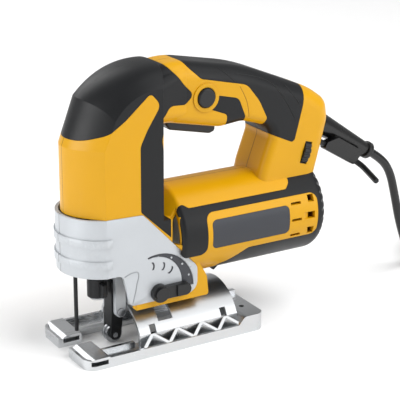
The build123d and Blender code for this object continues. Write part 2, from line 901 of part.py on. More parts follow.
# Bevel clamp: a curved plate inside the saddle, drawn up by one screw
plate_radius = saddle_radius - saddle_wall - moving_gap
plate_under = plate_radius - clamp_plate_wall
screw_room_radius = clamp_screw_diameter / 2 + seam_gap
with BuildPart() as clamp_plate:
    add(ring((bevel_slot_x - clamp_plate_half, 0, 0), (bevel_slot_x + clamp_plate_half, 0, 0),
             plate_radius, plate_under))
    add(wedge(bevel_slot_x - clamp_plate_half, 2 * clamp_plate_half, clamp_plate_sweep), mode=Mode.INTERSECT)
    add(rod((bevel_slot_x, 0, 0), (bevel_slot_x, 0, saddle_radius), screw_room_radius), mode=Mode.SUBTRACT)
keep(clamp_plate.part, "bevel_clamp_plate")
head_top = plate_under * math.cos(math.radians(clamp_plate_sweep))
with BuildPart() as clamp_screw:
    add(rod((bevel_slot_x, 0, head_top - overlap), (bevel_slot_x, 0, clamp_screw_tip), clamp_screw_diameter / 2))
    add(rod((bevel_slot_x, 0, head_top - clamp_head_height), (bevel_slot_x, 0, head_top), clamp_head_radius))
    with BuildSketch(Plane.XY.offset(head_top - clamp_head_height)):
        with Locations((bevel_slot_x, 0)):
            RegularPolygon(clamp_socket_radius, 6)
    extrude(amount=clamp_socket_depth, mode=Mode.SUBTRACT)
keep(clamp_screw.part, "bevel_clamp_screw")

# Gear case: a box that holds the gears, the plunger's bushes and the motor's front bearing
gear_z = barrel_axis_z + module * (pinion_teeth + gear_teeth) / 2 + mesh_slack
axle_seat = case_back - case_wall - axle_boss
bush_radius = plunger_diameter / 2 + bush_wall
with BuildSketch(Plane.XY.offset(case_bottom)) as case_plan:
    with BuildLine():
        case_side = Polyline(
            (case_back, 0), (case_back, case_back_half), (case_back - case_back_chamfer, case_half_width),
            (case_front + case_nose_chamfer, case_half_width), (case_front, case_nose_half), (case_front, 0))
        mirror(case_side, about=Plane.XZ)
    make_face()
with BuildSketch(Plane.XY.offset(case_bottom + case_floor)) as case_room:
    add(case_plan.sketch)
    offset(amount=-case_wall, kind=Kind.INTERSECTION, mode=Mode.REPLACE)
with BuildPart() as gear_case:
    add(extrude(case_plan.sketch, amount=case_top - case_bottom, mode=Mode.PRIVATE))
    room_height = case_top - case_bottom - case_floor - case_roof
    add(extrude(case_room.sketch, amount=room_height, mode=Mode.PRIVATE), mode=Mode.SUBTRACT)
    add(block((case_front - overlap, -case_window_half, case_bottom + case_window_margin),
              (case_front + case_window_half, case_window_half, case_top - case_window_margin)),
        mode=Mode.SUBTRACT)
    pad_face = head_half_width - housing_wall - seat_gap
    for inner, outer in ((case_half_width - overlap, pad_face), (-pad_face, overlap - case_half_width)):
        add(block((pad_front, inner, pad_bottom), (pad_front + pad_length, outer, pad_bottom + pad_length)))
    add(block((guard_x - guard_boss_front, -guard_boss_half, case_bottom),
              (case_front + overlap, guard_boss_half, case_bottom + guard_boss_height)))
    boss_end = case_back + bearing_width + bearing_lip
    add(rod(on_shaft(case_back - overlap), on_shaft(boss_end), front_bearing_radius + case_wall))
    add(rod(on_shaft(case_back), on_shaft(boss_end), front_bearing_radius + seam_gap), mode=Mode.SUBTRACT)
    pinion_room = module * (pinion_teeth / 2 + 1) + moving_gap
    add(rod(on_shaft(axle_seat), on_shaft(boss_end), pinion_room), mode=Mode.SUBTRACT)
    add(rod((axle_seat, 0, gear_z), (case_back - overlap, 0, gear_z), axle_diameter))
    add(rod((axle_seat, 0, gear_z), (case_back, 0, gear_z), axle_diameter / 2 + seam_gap), mode=Mode.SUBTRACT)
    add(rod((plunger_x, 0, 0), (plunger_x, 0, 2 * beyond), bush_radius + seam_gap), mode=Mode.SUBTRACT)
    add(rod((guard_x, 0, 0), (guard_x, 0, beyond), guard_diameter / 2 + seam_gap), mode=Mode.SUBTRACT)
keep(gear_case.part, "gear_case")

# Foot under the gear case: it rests on the saddle, and two lugs at its front carry the fork
lug_inner = fork_half_width + moving_gap
lug_outer = lug_inner + lug_width
pin_end = lug_outer + overlap
lug_profile = side_outline(
    [(fork_pivot_x - lug_radius, fork_pivot_z - lug_radius),
     (fork_pivot_x + lug_radius, fork_pivot_z - lug_radius),
     (fork_pivot_x + lug_radius, case_bottom), (fork_pivot_x - lug_radius, case_bottom)],
    [lug_radius - seam_gap, lug_radius - seam_gap, 0, 0])
foot_front = saddle_front + foot_set
with BuildPart() as case_foot:
    add(through(lug_profile, lug_outer))
    add(block((fork_pivot_x, -foot_column_half, foot_top - overlap),
              (case_back - case_wall, foot_column_half, case_bottom)))
    add(block((-beyond, -lug_inner, 0), (foot_front, lug_inner, case_bottom)), mode=Mode.SUBTRACT)
    add(block((foot_front, -foot_half_width, foot_bottom), (foot_back, foot_half_width, foot_top)))
    add(rod((saddle_front - moving_gap, 0, 0), (beyond, 0, 0), saddle_radius + moving_gap), mode=Mode.SUBTRACT)
    pivot_hole = fork_pin_diameter / 2 + seam_gap
    add(rod((fork_pivot_x, -pin_end, fork_pivot_z), (fork_pivot_x, pin_end, fork_pivot_z), pivot_hole),
        mode=Mode.SUBTRACT)
    add(rod((bevel_slot_x, 0, 0), (bevel_slot_x, 0, foot_top - overlap), screw_room_radius), mode=Mode.SUBTRACT)
keep(case_foot.part, "case_foot")
with BuildPart() as guard:
    add(rod((guard_x, 0, guard_bottom), (guard_x, 0, case_bottom + guard_boss_height), guard_diameter / 2))
    fillet(guard.edges().group_by(Axis.Z)[0], guard_diameter / 3)
keep(guard.part, "finger_guard")

# Plunger with its yoke, two bushes, the blade clamp and its twist collar
yoke_back = gear_front - crank_pin_length - moving_gap
with BuildPart() as plunger:
    add(rod((plunger_x, 0, plunger_bottom), (plunger_x, 0, plunger_top), plunger_diameter / 2))
    add(block((plunger_x, -yoke_half_width, gear_z - yoke_half_height),
              (yoke_back, yoke_half_width, gear_z + yoke_half_height)))
    with BuildSketch(Plane.YZ.offset(yoke_back)):
        with Locations((0, gear_z)):
            SlotOverall(yoke_slot, crank_pin_diameter + moving_gap)
    extrude(amount=-yoke_depth, mode=Mode.SUBTRACT)
keep(plunger.part, "plunger")
bush_places = (
    ("plunger_bush_lower", case_bottom - bush_drop),
    ("plunger_bush_upper", case_top + bush_rise - bush_length),
)
for name, low in bush_places:
    bush_low = (plunger_x, 0, low)
    bush_high = (plunger_x, 0, low + bush_length)
    keep(ring(bush_low, bush_high, bush_radius, plunger_diameter / 2 + running_gap), name)
clamp_top = clamp_bottom + clamp_height
clamp_radius = clamp_diameter / 2
with BuildPart() as blade_clamp:
    add(rod((plunger_x, 0, clamp_bottom), (plunger_x, 0, clamp_top), clamp_radius))
    add(rod((plunger_x, 0, plunger_bottom), (plunger_x, 0, clamp_top), plunger_diameter / 2), mode=Mode.SUBTRACT)
    add(block((plunger_x - blade_half_width, -blade_slot / 2, clamp_bottom),
              (plunger_x + blade_half_width, blade_slot / 2, plunger_bottom - overlap)), mode=Mode.SUBTRACT)
keep(blade_clamp.part, "blade_clamp_body")
collar_inner = clamp_radius + running_gap
collar_outer = collar_inner + collar_wall
with BuildPart() as collar:
    add(rod((plunger_x, 0, collar_bottom), (plunger_x, 0, collar_top), collar_outer))
    add(block((plunger_x - collar_tab_half, -collar_outer - collar_tab, collar_bottom + collar_tab_margin),
              (plunger_x + collar_tab_half, 0, collar_top - collar_tab_margin)))
    fillet(collar.faces().sort_by(Axis.Y)[0].edges(), collar_tab_round)
    add(rod((plunger_x, 0, clamp_bottom), (plunger_x, 0, clamp_top), collar_inner), mode=Mode.SUBTRACT)
keep(collar.part, "blade_clamp_collar")


def across_motor(x, z=barrel_axis_z):
    """A plane square to the motor axis."""
    return Plane(origin=(x, 0, z), x_dir=(0, 1, 0), z_dir=(1, 0, 0))


def gear_outline(teeth, turn):
    """The corners of a toothed outline with straight flanks, about its own centre."""
    pitch_radius = module * teeth / 2
    half_tooth = tooth_share * 180 / teeth
    lean = math.degrees(math.tan(math.radians(pressure_angle)) * module / pitch_radius)
    flanks = ((tooth_root, -1), (tooth_tip, -1), (tooth_tip, 1), (tooth_root, 1))
    corners = []
    for i in range(teeth):
        middle = turn + 360 * i / teeth
        for height, side in flanks:
            angle = math.radians(middle + side * (half_tooth - height * lean))
            radius = pitch_radius + height * module
            corners.append((radius * math.cos(angle), radius * math.sin(angle)))
    return corners


# Drive gear with its crank pin, on a fixed axle, and the pinion on the motor shaft
with BuildPart() as gear:
    with BuildSketch(across_motor(gear_front, gear_z)):
        with BuildLine():
            Polyline(*gear_outline(gear_teeth, -90 + 180 / gear_teeth), close=True)
        make_face()
        with PolarLocations(gear_hole_ring, gear_holes, start_angle=45):
            Circle(gear_hole_radius, mode=Mode.SUBTRACT)
    extrude(amount=gear_width)
    add(rod((gear_front, 0, gear_z), (axle_seat - moving_gap, 0, gear_z), axle_diameter))
    add(rod((gear_front - crank_pin_length, stroke / 2, gear_z), (gear_front + overlap, stroke / 2, gear_z),
            crank_pin_diameter / 2))
    add(rod((gear_front, 0, gear_z), (case_back, 0, gear_z), axle_diameter / 2 + running_gap), mode=Mode.SUBTRACT)
keep(gear.part, "drive_gear")
keep(rod((gear_front, 0, gear_z), (case_back, 0, gear_z), axle_diameter / 2), "gear_axle")
with BuildPart() as pinion:
    with BuildSketch(across_motor(gear_front - pinion_overhang)):
        with BuildLine():
            Polyline(*gear_outline(pinion_teeth, 90), close=True)
        make_face()
        Circle(pinion_bore / 2, mode=Mode.SUBTRACT)
    extrude(amount=gear_width + 2 * pinion_overhang)
keep(pinion.part, "pinion")

# Armature: stepped shaft, laminated core, windings, commutator and fan
shaft_radius = shaft_diameter / 2
core_back = core_front + core_length
with BuildPart() as shaft:
    add(rod(on_shaft(gear_front - 2 * pinion_overhang), on_shaft(case_back - overlap), pinion_bore / 2))
    add(rod(on_shaft(case_back - overlap), on_shaft(rear_bearing_front + bearing_width), shaft_radius))
keep(shaft.part, "armature_shaft")
with BuildPart() as core:
    with BuildSketch(across_motor(core_front)):
        Circle(core_radius)
        Circle(shaft_radius, mode=Mode.SUBTRACT)
        with PolarLocations(core_radius - slot_depth / 2, core_slots):
            Rectangle(slot_depth + overlap, slot_width, mode=Mode.SUBTRACT)
    extrude(amount=core_length)
keep(core.part, "armature_core")
with BuildPart() as windings:
    for start in (core_front - winding_length, core_back):
        add(ring(on_shaft(start), on_shaft(start + winding_length),
                 core_radius - winding_set, shaft_radius + winding_hub))
    rims = windings.edges().filter_by(GeomType.CIRCLE)
    fillet(rims.group_by(SortBy.RADIUS)[-1], winding_round)
    with BuildSketch(across_motor(core_front - overlap)):
        with PolarLocations(core_radius - (slot_depth + overlap) / 2, core_slots):
            Rectangle(slot_depth - 2 * overlap, slot_width - 2 * seam_gap)
    extrude(amount=core_length + 2 * overlap)
keep(windings.part, "armature_windings")
with BuildPart() as commutator:
    add(ring(on_shaft(commutator_front), on_shaft(commutator_front + commutator_length),
             commutator_radius, shaft_radius))
    add(ring(on_shaft(commutator_front), on_shaft(commutator_front + commutator_collar),
             commutator_radius + commutator_lip, shaft_radius))
keep(commutator.part, "commutator")
with BuildPart() as fan:
    add(rod(on_shaft(fan_front), on_shaft(fan_front + fan_disc), fan_radius))
    add(rod(on_shaft(fan_front), on_shaft(fan_front + fan_width), shaft_radius + fan_hub))
    with BuildSketch(across_motor(fan_front)):
        with PolarLocations((fan_radius + shaft_radius + fan_hub) / 2 - overlap, fan_blades):
            Rectangle(fan_radius - shaft_radius - fan_hub, fan_blade_wall, rotation=fan_blade_lean)
    extrude(amount=fan_width)
    add(rod(on_shaft(fan_front), on_shaft(fan_front + fan_width), shaft_radius), mode=Mode.SUBTRACT)
keep(fan.part, "fan")


def bearing(start, outer):
    """A ball bearing with a sunk shield on each face."""
    with BuildPart(mode=Mode.PRIVATE) as made:
        add(ring(on_shaft(start), on_shaft(start + bearing_width), outer, shaft_radius + running_gap))
        middle = (outer + shaft_radius) / 2
        shield = (outer - shaft_radius) * shield_share / 2
        for face in (start, start + bearing_width - shield_depth):
            add(ring(on_shaft(face), on_shaft(face + shield_depth), middle + shield, middle - shield),
                mode=Mode.SUBTRACT)
    return made.part


keep(bearing(case_back, front_bearing_radius), "front_bearing")
keep(bearing(rear_bearing_front, rear_bearing_radius), "rear_bearing")


def sector(start_x, length, outer, inner, start, sweep):
    """Part of a tube round the motor axis, between two angles."""
    with BuildPart(mode=Mode.PRIVATE) as made:
        with BuildSketch(Plane.YZ.offset(start_x)):
            with BuildLine():
                far = CenterArc((0, barrel_axis_z), outer, start, sweep)
                near = CenterArc((0, barrel_axis_z), inner, start, sweep)
                Line(far @ 0, near @ 0)
                Line(far @ 1, near @ 1)
            make_face()
        extrude(amount=length)
    return made.part


# Stator: a two-pole laminated ring held by keys, with a saddle coil over each pole
bore_radius = core_radius + air_gap
motor_seat = barrel_radius - housing_wall - seat_gap
with BuildPart() as stator:
    add(ring(on_shaft(core_front), on_shaft(core_back), stator_radius, bore_radius))
    for pole in (0, 180):
        add(sector(core_front, core_length, coil_outer + seat_gap, bore_radius - overlap, pole - coil_angle,
                   2 * coil_angle), mode=Mode.SUBTRACT)
    for i in range(stator_keys):
        angle = (i + 0.5) * 360 / stator_keys - stator_key_sweep / 2
        add(sector(core_front + stator_key_set, core_length - 2 * stator_key_set, motor_seat,
                   stator_radius - overlap, angle, stator_key_sweep))
keep(stator.part, "stator_core")
with BuildPart() as field_coils:
    for pole in (0, 180):
        side_sweep = coil_angle - 2 * coil_gap_angle
        for start in (pole + coil_gap_angle, pole + 180 - coil_gap_angle - side_sweep):
            add(sector(core_front - overlap, core_length + 2 * overlap, coil_outer, coil_inner, start, side_sweep))
        for end in (core_front - coil_end, core_back + seat_gap):
            add(sector(end, coil_end - seat_gap, coil_outer, coil_inner, pole + coil_gap_angle,
                       180 - 2 * coil_gap_angle))
keep(field_coils.part, "field_coils")

# Carbon brushes in their holders
brush_x = commutator_front + commutator_length / 2 + brush_set
brush_half = brush_width / 2
holder_half = brush_half + holder_wall
holder_start = commutator_radius + commutator_lip + moving_gap
holder_end = motor_seat - holder_seat
brush_end = holder_start + brush_length
with BuildPart() as brush_holders:
    add(block((brush_x - holder_half, holder_start, barrel_axis_z - holder_half),
              (brush_x + holder_half, holder_end, barrel_axis_z + holder_half)))
    brush_bore = brush_half + seam_gap
    add(block((brush_x - brush_bore, holder_start, barrel_axis_z - brush_bore),
              (brush_x + brush_bore, brush_end, barrel_axis_z + brush_bore)), mode=Mode.SUBTRACT)
    mirror(about=Plane.XZ)
keep(brush_holders.part, "brush_holders")
with BuildPart() as brushes:
    add(block((brush_x - brush_half, commutator_radius + moving_gap, barrel_axis_z - brush_half),
              (brush_x + brush_half, brush_end, barrel_axis_z + brush_half)))
    mirror(about=Plane.XZ)
keep(brushes.part, "brushes")

# Guide roller on its pin in a swinging fork
roller_half = roller_width / 2
roller_rim = roller_x + roller_radius
with BuildPart() as roller:
    with BuildSketch(Plane.XY.offset(roller_z)):
        with BuildLine():
            Polyline(
                (roller_x, -roller_half), (roller_rim, -roller_half), (roller_rim, -groove_top / 2),
                (roller_rim - groove_depth, -groove_floor / 2), (roller_rim - groove_depth, groove_floor / 2),
                (roller_rim, groove_top / 2), (roller_rim, roller_half), (roller_x, roller_half), close=True)
        make_face()
    revolve(axis=Axis((roller_x, 0, roller_z), (0, 1, 0)))
    add(rod((roller_x, -roller_half, roller_z), (roller_x, roller_half, roller_z),
            roller_pin_diameter / 2 + running_gap), mode=Mode.SUBTRACT)
keep(roller.part, "guide_roller")
keep(rod((roller_x, -fork_half_width, roller_z), (roller_x, fork_half_width, roller_z), roller_pin_diameter / 2),
     "roller_pin")
fork_arm_back = fork_pivot_x - fork_arm_set
fork_arm_front = fork_arm_back - fork_arm_width
fork_profile = side_outline(
    [(roller_x - fork_eye, roller_z - fork_eye), (roller_x + fork_eye, roller_z - fork_eye),
     (fork_pivot_x + fork_eye, fork_pivot_z - fork_eye), (fork_pivot_x + fork_eye, fork_pivot_z + fork_eye),
     (fork_pivot_x, fork_pivot_z + 2 * fork_eye), (fork_arm_back, fork_top), (fork_arm_front, fork_top),
     (fork_arm_front, fork_pivot_z)], [3.9, 3.9, 4, 3, 4, 1.5, 1.5, 6])
with BuildPart() as fork:
    add(through(fork_profile, fork_half_width))
    room = roller_half + moving_gap
    wheel_room = roller_radius + roller_room
    add(block((-beyond, -room, 0), (beyond, room, roller_z)), mode=Mode.SUBTRACT)
    add(rod((roller_x, -room, roller_z), (roller_x, room, roller_z), wheel_room), mode=Mode.SUBTRACT)
    add(rod((roller_x, -beyond, roller_z), (roller_x, beyond, roller_z), roller_pin_diameter / 2),
        mode=Mode.SUBTRACT)
    add(rod((fork_pivot_x, -beyond, fork_pivot_z), (fork_pivot_x, beyond, fork_pivot_z),
            fork_pin_diameter / 2 + running_gap), mode=Mode.SUBTRACT)
keep(fork.part, "roller_fork")
with BuildPart() as fork_pin:
    add(rod((fork_pivot_x, -pin_end, fork_pivot_z), (fork_pivot_x, pin_end, fork_pivot_z), fork_pin_diameter / 2))
    head_end = -lug_outer - fork_pin_head_height
    add(rod((fork_pivot_x, head_end, fork_pivot_z), (fork_pivot_x, -lug_outer, fork_pivot_z), fork_pin_head))
keep(fork_pin.part, "fork_pin")

# Pendulum selector: a lever on a shaft through the cover
lever_back = -(cover_face + moving_gap)
lever_front = lever_back - lever_thickness
lever_profile = side_outline(
    [(selector_x - selector_radius, selector_z - selector_radius),
     (selector_x + lever_root, selector_z - selector_radius),
     (selector_x + selector_reach, selector_z - lever_tip), (selector_x + selector_reach, selector_z + lever_tip),
     (selector_x + lever_root, selector_z + selector_radius),
     (selector_x - selector_radius, selector_z + selector_radius)],
    [selector_radius - seam_gap, 9, lever_tip - seam_gap, lever_tip - seam_gap, 9, selector_radius - seam_gap])
with BuildPart() as selector:
    with BuildSketch(Plane.XZ.offset(-lever_back)):
        add(lever_profile)
    extrude(amount=lever_thickness)
    fillet(selector.faces().sort_by(Axis.Y)[0].edges(), lever_round)
    add(block((selector_x, lever_front - lever_rib_height, selector_z - lever_rib_half),
              (selector_x + selector_reach - lever_rib_set, lever_front + overlap, selector_z + lever_rib_half)))
    add(rod((selector_x, lever_back - overlap, selector_z), (selector_x, -selector_depth, selector_z),
            selector_shaft_diameter / 2))
keep(selector.part, "selector_lever")

# Trigger on its pin, switch above it and the lock-on button
inner_wall = handle_half_width - housing_wall - seat_gap
with BuildPart() as trigger:
    add(through(side_outline(trigger_points, trigger_radii), trigger_half_width))
    side_edges = trigger.edges().filter_by(lambda e: abs((e @ 0.5).Y) > trigger_half_width - seam_gap)
    fillet(side_edges.filter_by(lambda e: (e @ 0.5).Z < trigger_edge_z), trigger_edge_round)
    add(rod((trigger_pivot_x, -beyond, trigger_pivot_z), (trigger_pivot_x, beyond, trigger_pivot_z),
            trigger_pin_diameter / 2 + running_gap), mode=Mode.SUBTRACT)
keep(trigger.part, "trigger")
pin_half = inner_wall - trigger_pin_set
keep(rod((trigger_pivot_x, -pin_half, trigger_pivot_z), (trigger_pivot_x, pin_half, trigger_pivot_z),
         trigger_pin_diameter / 2), "trigger_pin")
with BuildPart() as switch:
    switch_top = switch_bottom + switch_height
    add(block((switch_front, -switch_half_width, switch_bottom), (switch_back, switch_half_width, switch_top)))
    add(block((switch_back - switch_ear_length, -inner_wall, switch_bottom + switch_ear_margin),
              (switch_back, inner_wall, switch_top - switch_ear_margin)))
    fillet(switch.edges().filter_by(Axis.Y), switch_round)
keep(switch.part, "switch_module")
with BuildPart() as button:
    button_face = -handle_half_width - button_proud
    flange_face = -handle_half_width + housing_wall + seat_gap
    add(rod((button_x, button_face, button_z), (button_x, flange_face + button_depth, button_z), button_radius))
    fillet(button.edges().group_by(Axis.Y)[0], button_round)
    add(rod((button_x, flange_face, button_z), (button_x, flange_face + button_flange, button_z),
            button_radius + button_flange_lip))
keep(button.part, "lock_button")

# Speed dial on the axle of its potentiometer, on a small board
pot_front = dial_centre - dial_axis * (dial_width / 2 + moving_gap + pot_length)
pot_back = dial_centre - dial_axis * (dial_width / 2 + moving_gap)
pot_middle = (pot_front + pot_back) * 0.5
with BuildPart() as dial:
    with BuildSketch(Plane(origin=dial_centre - dial_axis * (dial_width / 2), z_dir=dial_axis)):
        Circle(dial_radius)
        with PolarLocations(dial_radius + dial_groove_out, dial_grooves):
            Circle(dial_groove_radius, mode=Mode.SUBTRACT)
    extrude(amount=dial_width)
    add(rod(dial_centre, pot_front + dial_axis * axle_end, dial_axle_diameter / 2))
keep(dial.part, "speed_dial")
with BuildPart() as board:
    with BuildSketch(Plane(origin=pot_middle, x_dir=(0, 1, 0), z_dir=dial_axis)):
        with Locations((-pot_middle.Y + (board_y - pot_reach) / 2, 0)):
            Rectangle(board_y + pot_reach, pot_height)
    extrude(amount=pot_length / 2, both=True)
    add(block((board_front, board_y, board_bottom), (board_back, board_y + board_wall, board_top)))
    for x in board_posts:
        add(rod((x, board_y, board_post_z), (x, inner_wall, board_post_z), board_post_radius))
    add(rod(pot_front + dial_axis * axle_end, pot_back + dial_axis, dial_axle_diameter / 2 + running_gap),
        mode=Mode.SUBTRACT)
keep(board.part, "speed_board")

# Rubber sleeve of the cord, with a web below that holds the hex key, and the clamp inside the handle
sleeve_axis = (sleeve_tip - sleeve_root).normalized()
sleeve_length = (sleeve_tip - sleeve_root).length
sleeve_down = Vector(0, 1, 0).cross(sleeve_axis)


def beside_sleeve(along, below=0, side=0):
    """A point measured along the sleeve, below its axis and to one side."""
    return sleeve_root + sleeve_axis * along + sleeve_down * below + Vector(0, side, 0)


stub_radius = cord_diameter / 2 + stub_wall
sleeve_plane = Plane(origin=sleeve_root, x_dir=sleeve_axis, z_dir=(0, 1, 0))
key_path = (beside_sleeve(sleeve_collar, key_offset, key_side), beside_sleeve(sleeve_length, key_offset, key_side))
with BuildPart() as strain_relief:
    with BuildSketch(sleeve_plane):
        with BuildLine():
            FilletPolyline(
                (-stub_length, 0), (-stub_length, stub_radius), (-flange_width, stub_radius),
                (-flange_width, flange_radius), (-flange_set, flange_radius), (-flange_set, sleeve_root_radius),
                (sleeve_collar, sleeve_root_radius), (sleeve_collar, collar_radius),
                (sleeve_length - end_ring, sleeve_tip_radius), (sleeve_length - end_ring, end_ring_radius),
                (sleeve_length, end_ring_radius), (sleeve_length, 0),
                radius=[0, 0, 0, 0, 0, 0, 0, 0, 0, 1.2, 1.2, 0], close=True)
        make_face()
    revolve(axis=Axis(sleeve_root, sleeve_axis))
    with BuildSketch(sleeve_plane.offset(key_side)):
        with BuildLine():
            FilletPolyline(
                (web_front, web_root), (web_back, web_root), (web_back - web_root, key_offset + web_below),
                (web_front - web_run_in, key_offset + web_below), (web_front - web_run_in, key_offset - web_above),
                radius=[0, 0, 2.5, 2.5, 2], close=True)
        make_face()
    extrude(amount=web_width / 2, both=True)
    add(rod(*key_path, key_size / math.sqrt(3) + moving_gap), mode=Mode.SUBTRACT)
keep(strain_relief.part, "strain_relief")
with BuildPart() as cord_clamp:
    clamp_start = beside_sleeve(cord_clamp_set - stub_length)
    with BuildSketch(Plane(origin=clamp_start, x_dir=(0, 1, 0), z_dir=sleeve_axis)):
        RectangleRounded(clamp_span, cord_diameter + 2 * cord_clamp_rim, cord_clamp_corner)
        Circle(stub_radius + seam_gap, mode=Mode.SUBTRACT)
    extrude(amount=stub_length - flange_width - 2 * cord_clamp_set)
keep(cord_clamp.part, "cord_clamp")

# Hex key: a long leg through the web and a short leg turned to the left
with BuildPart() as hex_key:
    key_bend = beside_sleeve(key_reach, key_offset, key_side)
    key_start = beside_sleeve(key_front, key_offset, key_side)
    short_leg = Vector(0, -math.cos(math.radians(key_droop)), 0) + sleeve_down * math.sin(math.radians(key_droop))
    with BuildLine() as key_line:
        FilletPolyline(key_start, key_bend, key_bend + short_leg * key_short_leg, radius=key_bend_radius)
    with BuildSketch(Plane(origin=key_start, x_dir=sleeve_down, z_dir=sleeve_axis)):
        RegularPolygon(key_size / 2, 6, major_radius=False)
    sweep(path=key_line.wire())
keep(hex_key.part, "hex_key")

# Cord from the sleeve to the floor, as straight runs joined by the largest arcs that they allow
route = [Vector(sleeve_tip)] + [Vector(point) for point in route_points]


def bend_radii(points):
    """For each corner of a route, the largest arc that its two runs leave room for."""
    radii = []
    for before, here, after in zip(points, points[1:], points[2:]):
        turn = math.radians((here - before).get_angle(after - here))
        shorter = min((here - before).length, (after - here).length)
        radii.append(corner_share * shorter / math.tan(turn / 2))
    return radii


route_radii = bend_radii(route)
with BuildPart() as power_cord:
    with BuildLine() as cord_line:
        FilletPolyline(*route, radius=route_radii)
    with BuildSketch(Plane(origin=route[0], z_dir=route[1] - route[0])):
        Circle(cord_diameter / 2)
    sweep(path=cord_line.wire())
keep(power_cord.part, "power_cord")
cord_section = math.pi * cord_diameter**2 / 4
print("cord bend radii", [round(r, 1) for r in route_radii])
cord_length = cord_line.wire().length
print("cord volume", round(power_cord.part.volume), "section times length", round(cord_section * cord_length))

# Coil of the spare length: three layers, wound inward, outward and inward again, then up to the plug on top
coil_start = route[-1]
coil_entry = (route[-1] - route[-2]).normalized()
coil_outer_radius = coil_inner_radius + coil_turns * coil_pitch
coil_centre = coil_start + coil_entry * coil_lead + coil_entry.cross(Vector(0, 0, 1)) * coil_outer_radius
coil_first_angle = 90 + math.degrees(math.atan2(coil_entry.Y, coil_entry.X))
layer_turns = coil_turns + climb_turns
wound_turns = coil_layers * layer_turns - climb_turns
coil_total = wound_turns + lift_turns
coil_top = coil_start.Z + (coil_layers - 1) * coil_rise + cord_diameter / 2
plug_axis_z = coil_top + seat_gap + plug_height / 2


def ease(share):
    """A smooth step from 0 to 1, level before and after."""
    inside = min(max(share, 0), 1)
    return inside * inside * (3 - 2 * inside)


def coil_point(turn):
    """A point of the coil's centre line, a number of turns from its start."""
    swing = (turn + climb_turns / 2) % (2 * layer_turns)
    inward = min(swing, 2 * layer_turns - swing) - climb_turns / 2
    radius = coil_outer_radius - coil_pitch * inward
    climbs = [ease((turn - layer * layer_turns) / climb_turns + 1) for layer in range(1, coil_layers)]
    to_plug = plug_axis_z - coil_start.Z - (coil_layers - 1) * coil_rise
    height = coil_rise * sum(climbs) + to_plug * ease((turn - wound_turns) / lift_turns)
    angle = math.radians(coil_first_angle - 360 * turn)
    return coil_centre + Vector(radius * math.cos(angle), radius * math.sin(angle), height)


def coil_heading(turn):
    """The direction of the coil's centre line, level where it starts and ends."""
    angle = math.radians(coil_first_angle - 360 * turn)
    if turn in (0, coil_total):
        return Vector(math.sin(angle), -math.cos(angle), 0)
    return (coil_point(turn + 0.01) - coil_point(turn - 0.01)).normalized()


def meeting_point(start, stop, heading_in, heading_out):
    """Where two equal-handed arcs meet between two points with given headings."""
    chord = stop - start
    both = heading_in + heading_out
    bend = 2 * (1 - heading_in.dot(heading_out))
    lean = chord.dot(both)
    reach = (-lean + math.sqrt(lean * lean + bend * chord.dot(chord))) / bend
    return (start + stop + (heading_in - heading_out) * reach) * 0.5


steps = round(coil_total * arcs_per_turn)
stations = [coil_total * i / steps for i in range(steps + 1)]
coil_exit = coil_heading(coil_total)
plug_back = coil_point(coil_total) + coil_exit * coil_lead
with BuildPart() as cord_coil:
    with BuildLine() as coil_line:
        Line(coil_start, coil_point(0))
        for here, after in zip(stations, stations[1:]):
            middle = meeting_point(coil_point(here), coil_point(after), coil_heading(here), coil_heading(after))
            first = TangentArc(coil_point(here), middle, tangent=coil_heading(here))
            TangentArc(middle, coil_point(after), tangent=first % 1)
        Line(coil_point(coil_total), plug_back)
    with BuildSketch(Plane(origin=coil_start, z_dir=coil_entry)):
        Circle(cord_diameter / 2)
    sweep(path=coil_line.wire())
keep(cord_coil.part, "cord_coil")
coil_wire = coil_line.wire()
samples = [coil_wire @ (i / gap_samples) for i in range(gap_samples + 1)]
apart = int(6 * cord_diameter * gap_samples / coil_wire.length)
nearest = min((a - b).length for i, a in enumerate(samples) for b in samples[i + apart:])
print("coil length", round(coil_wire.length), "least gap between turns", round(nearest - cord_diameter, 2))
print("coil volume", round(cord_coil.part.volume), "section times length", round(cord_section * coil_wire.length))

# Tie round the coil on the side away from the plug, and the plug that lies on top
bulge = coil_pitch * climb_turns / 2 + cord_diameter / 2 + tie_gap
tie_inner = coil_inner_radius - bulge - tie_width**2 / (8 * coil_inner_radius)
tie_outer = coil_outer_radius + bulge
tie_bottom = coil_start.Z - cord_diameter / 2 - tie_gap
tie_top = coil_top + tie_gap
with BuildPart() as coil_tie:
    with BuildSketch(Plane.YZ.offset(coil_centre.X - tie_width / 2)):
        with Locations((coil_centre.Y - (tie_inner + tie_outer) / 2, (tie_bottom + tie_top) / 2)):
            Rectangle(tie_outer - tie_inner + 2 * tie_wall, tie_top - tie_bottom + 2 * tie_wall)
            Rectangle(tie_outer - tie_inner, tie_top - tie_bottom, mode=Mode.SUBTRACT)
    extrude(amount=tie_width)
keep(coil_tie.part, "coil_tie")


def plug_slice(along, width, height, corner):
    """A rounded slice across the plug, a distance from where the cord goes in."""
    across = coil_exit.cross(Vector(0, 0, 1))
    with BuildSketch(Plane(origin=plug_back + coil_exit * along, x_dir=across, z_dir=coil_exit),
                     mode=Mode.PRIVATE) as face:
        RectangleRounded(width, height, corner)
    return face.sketch


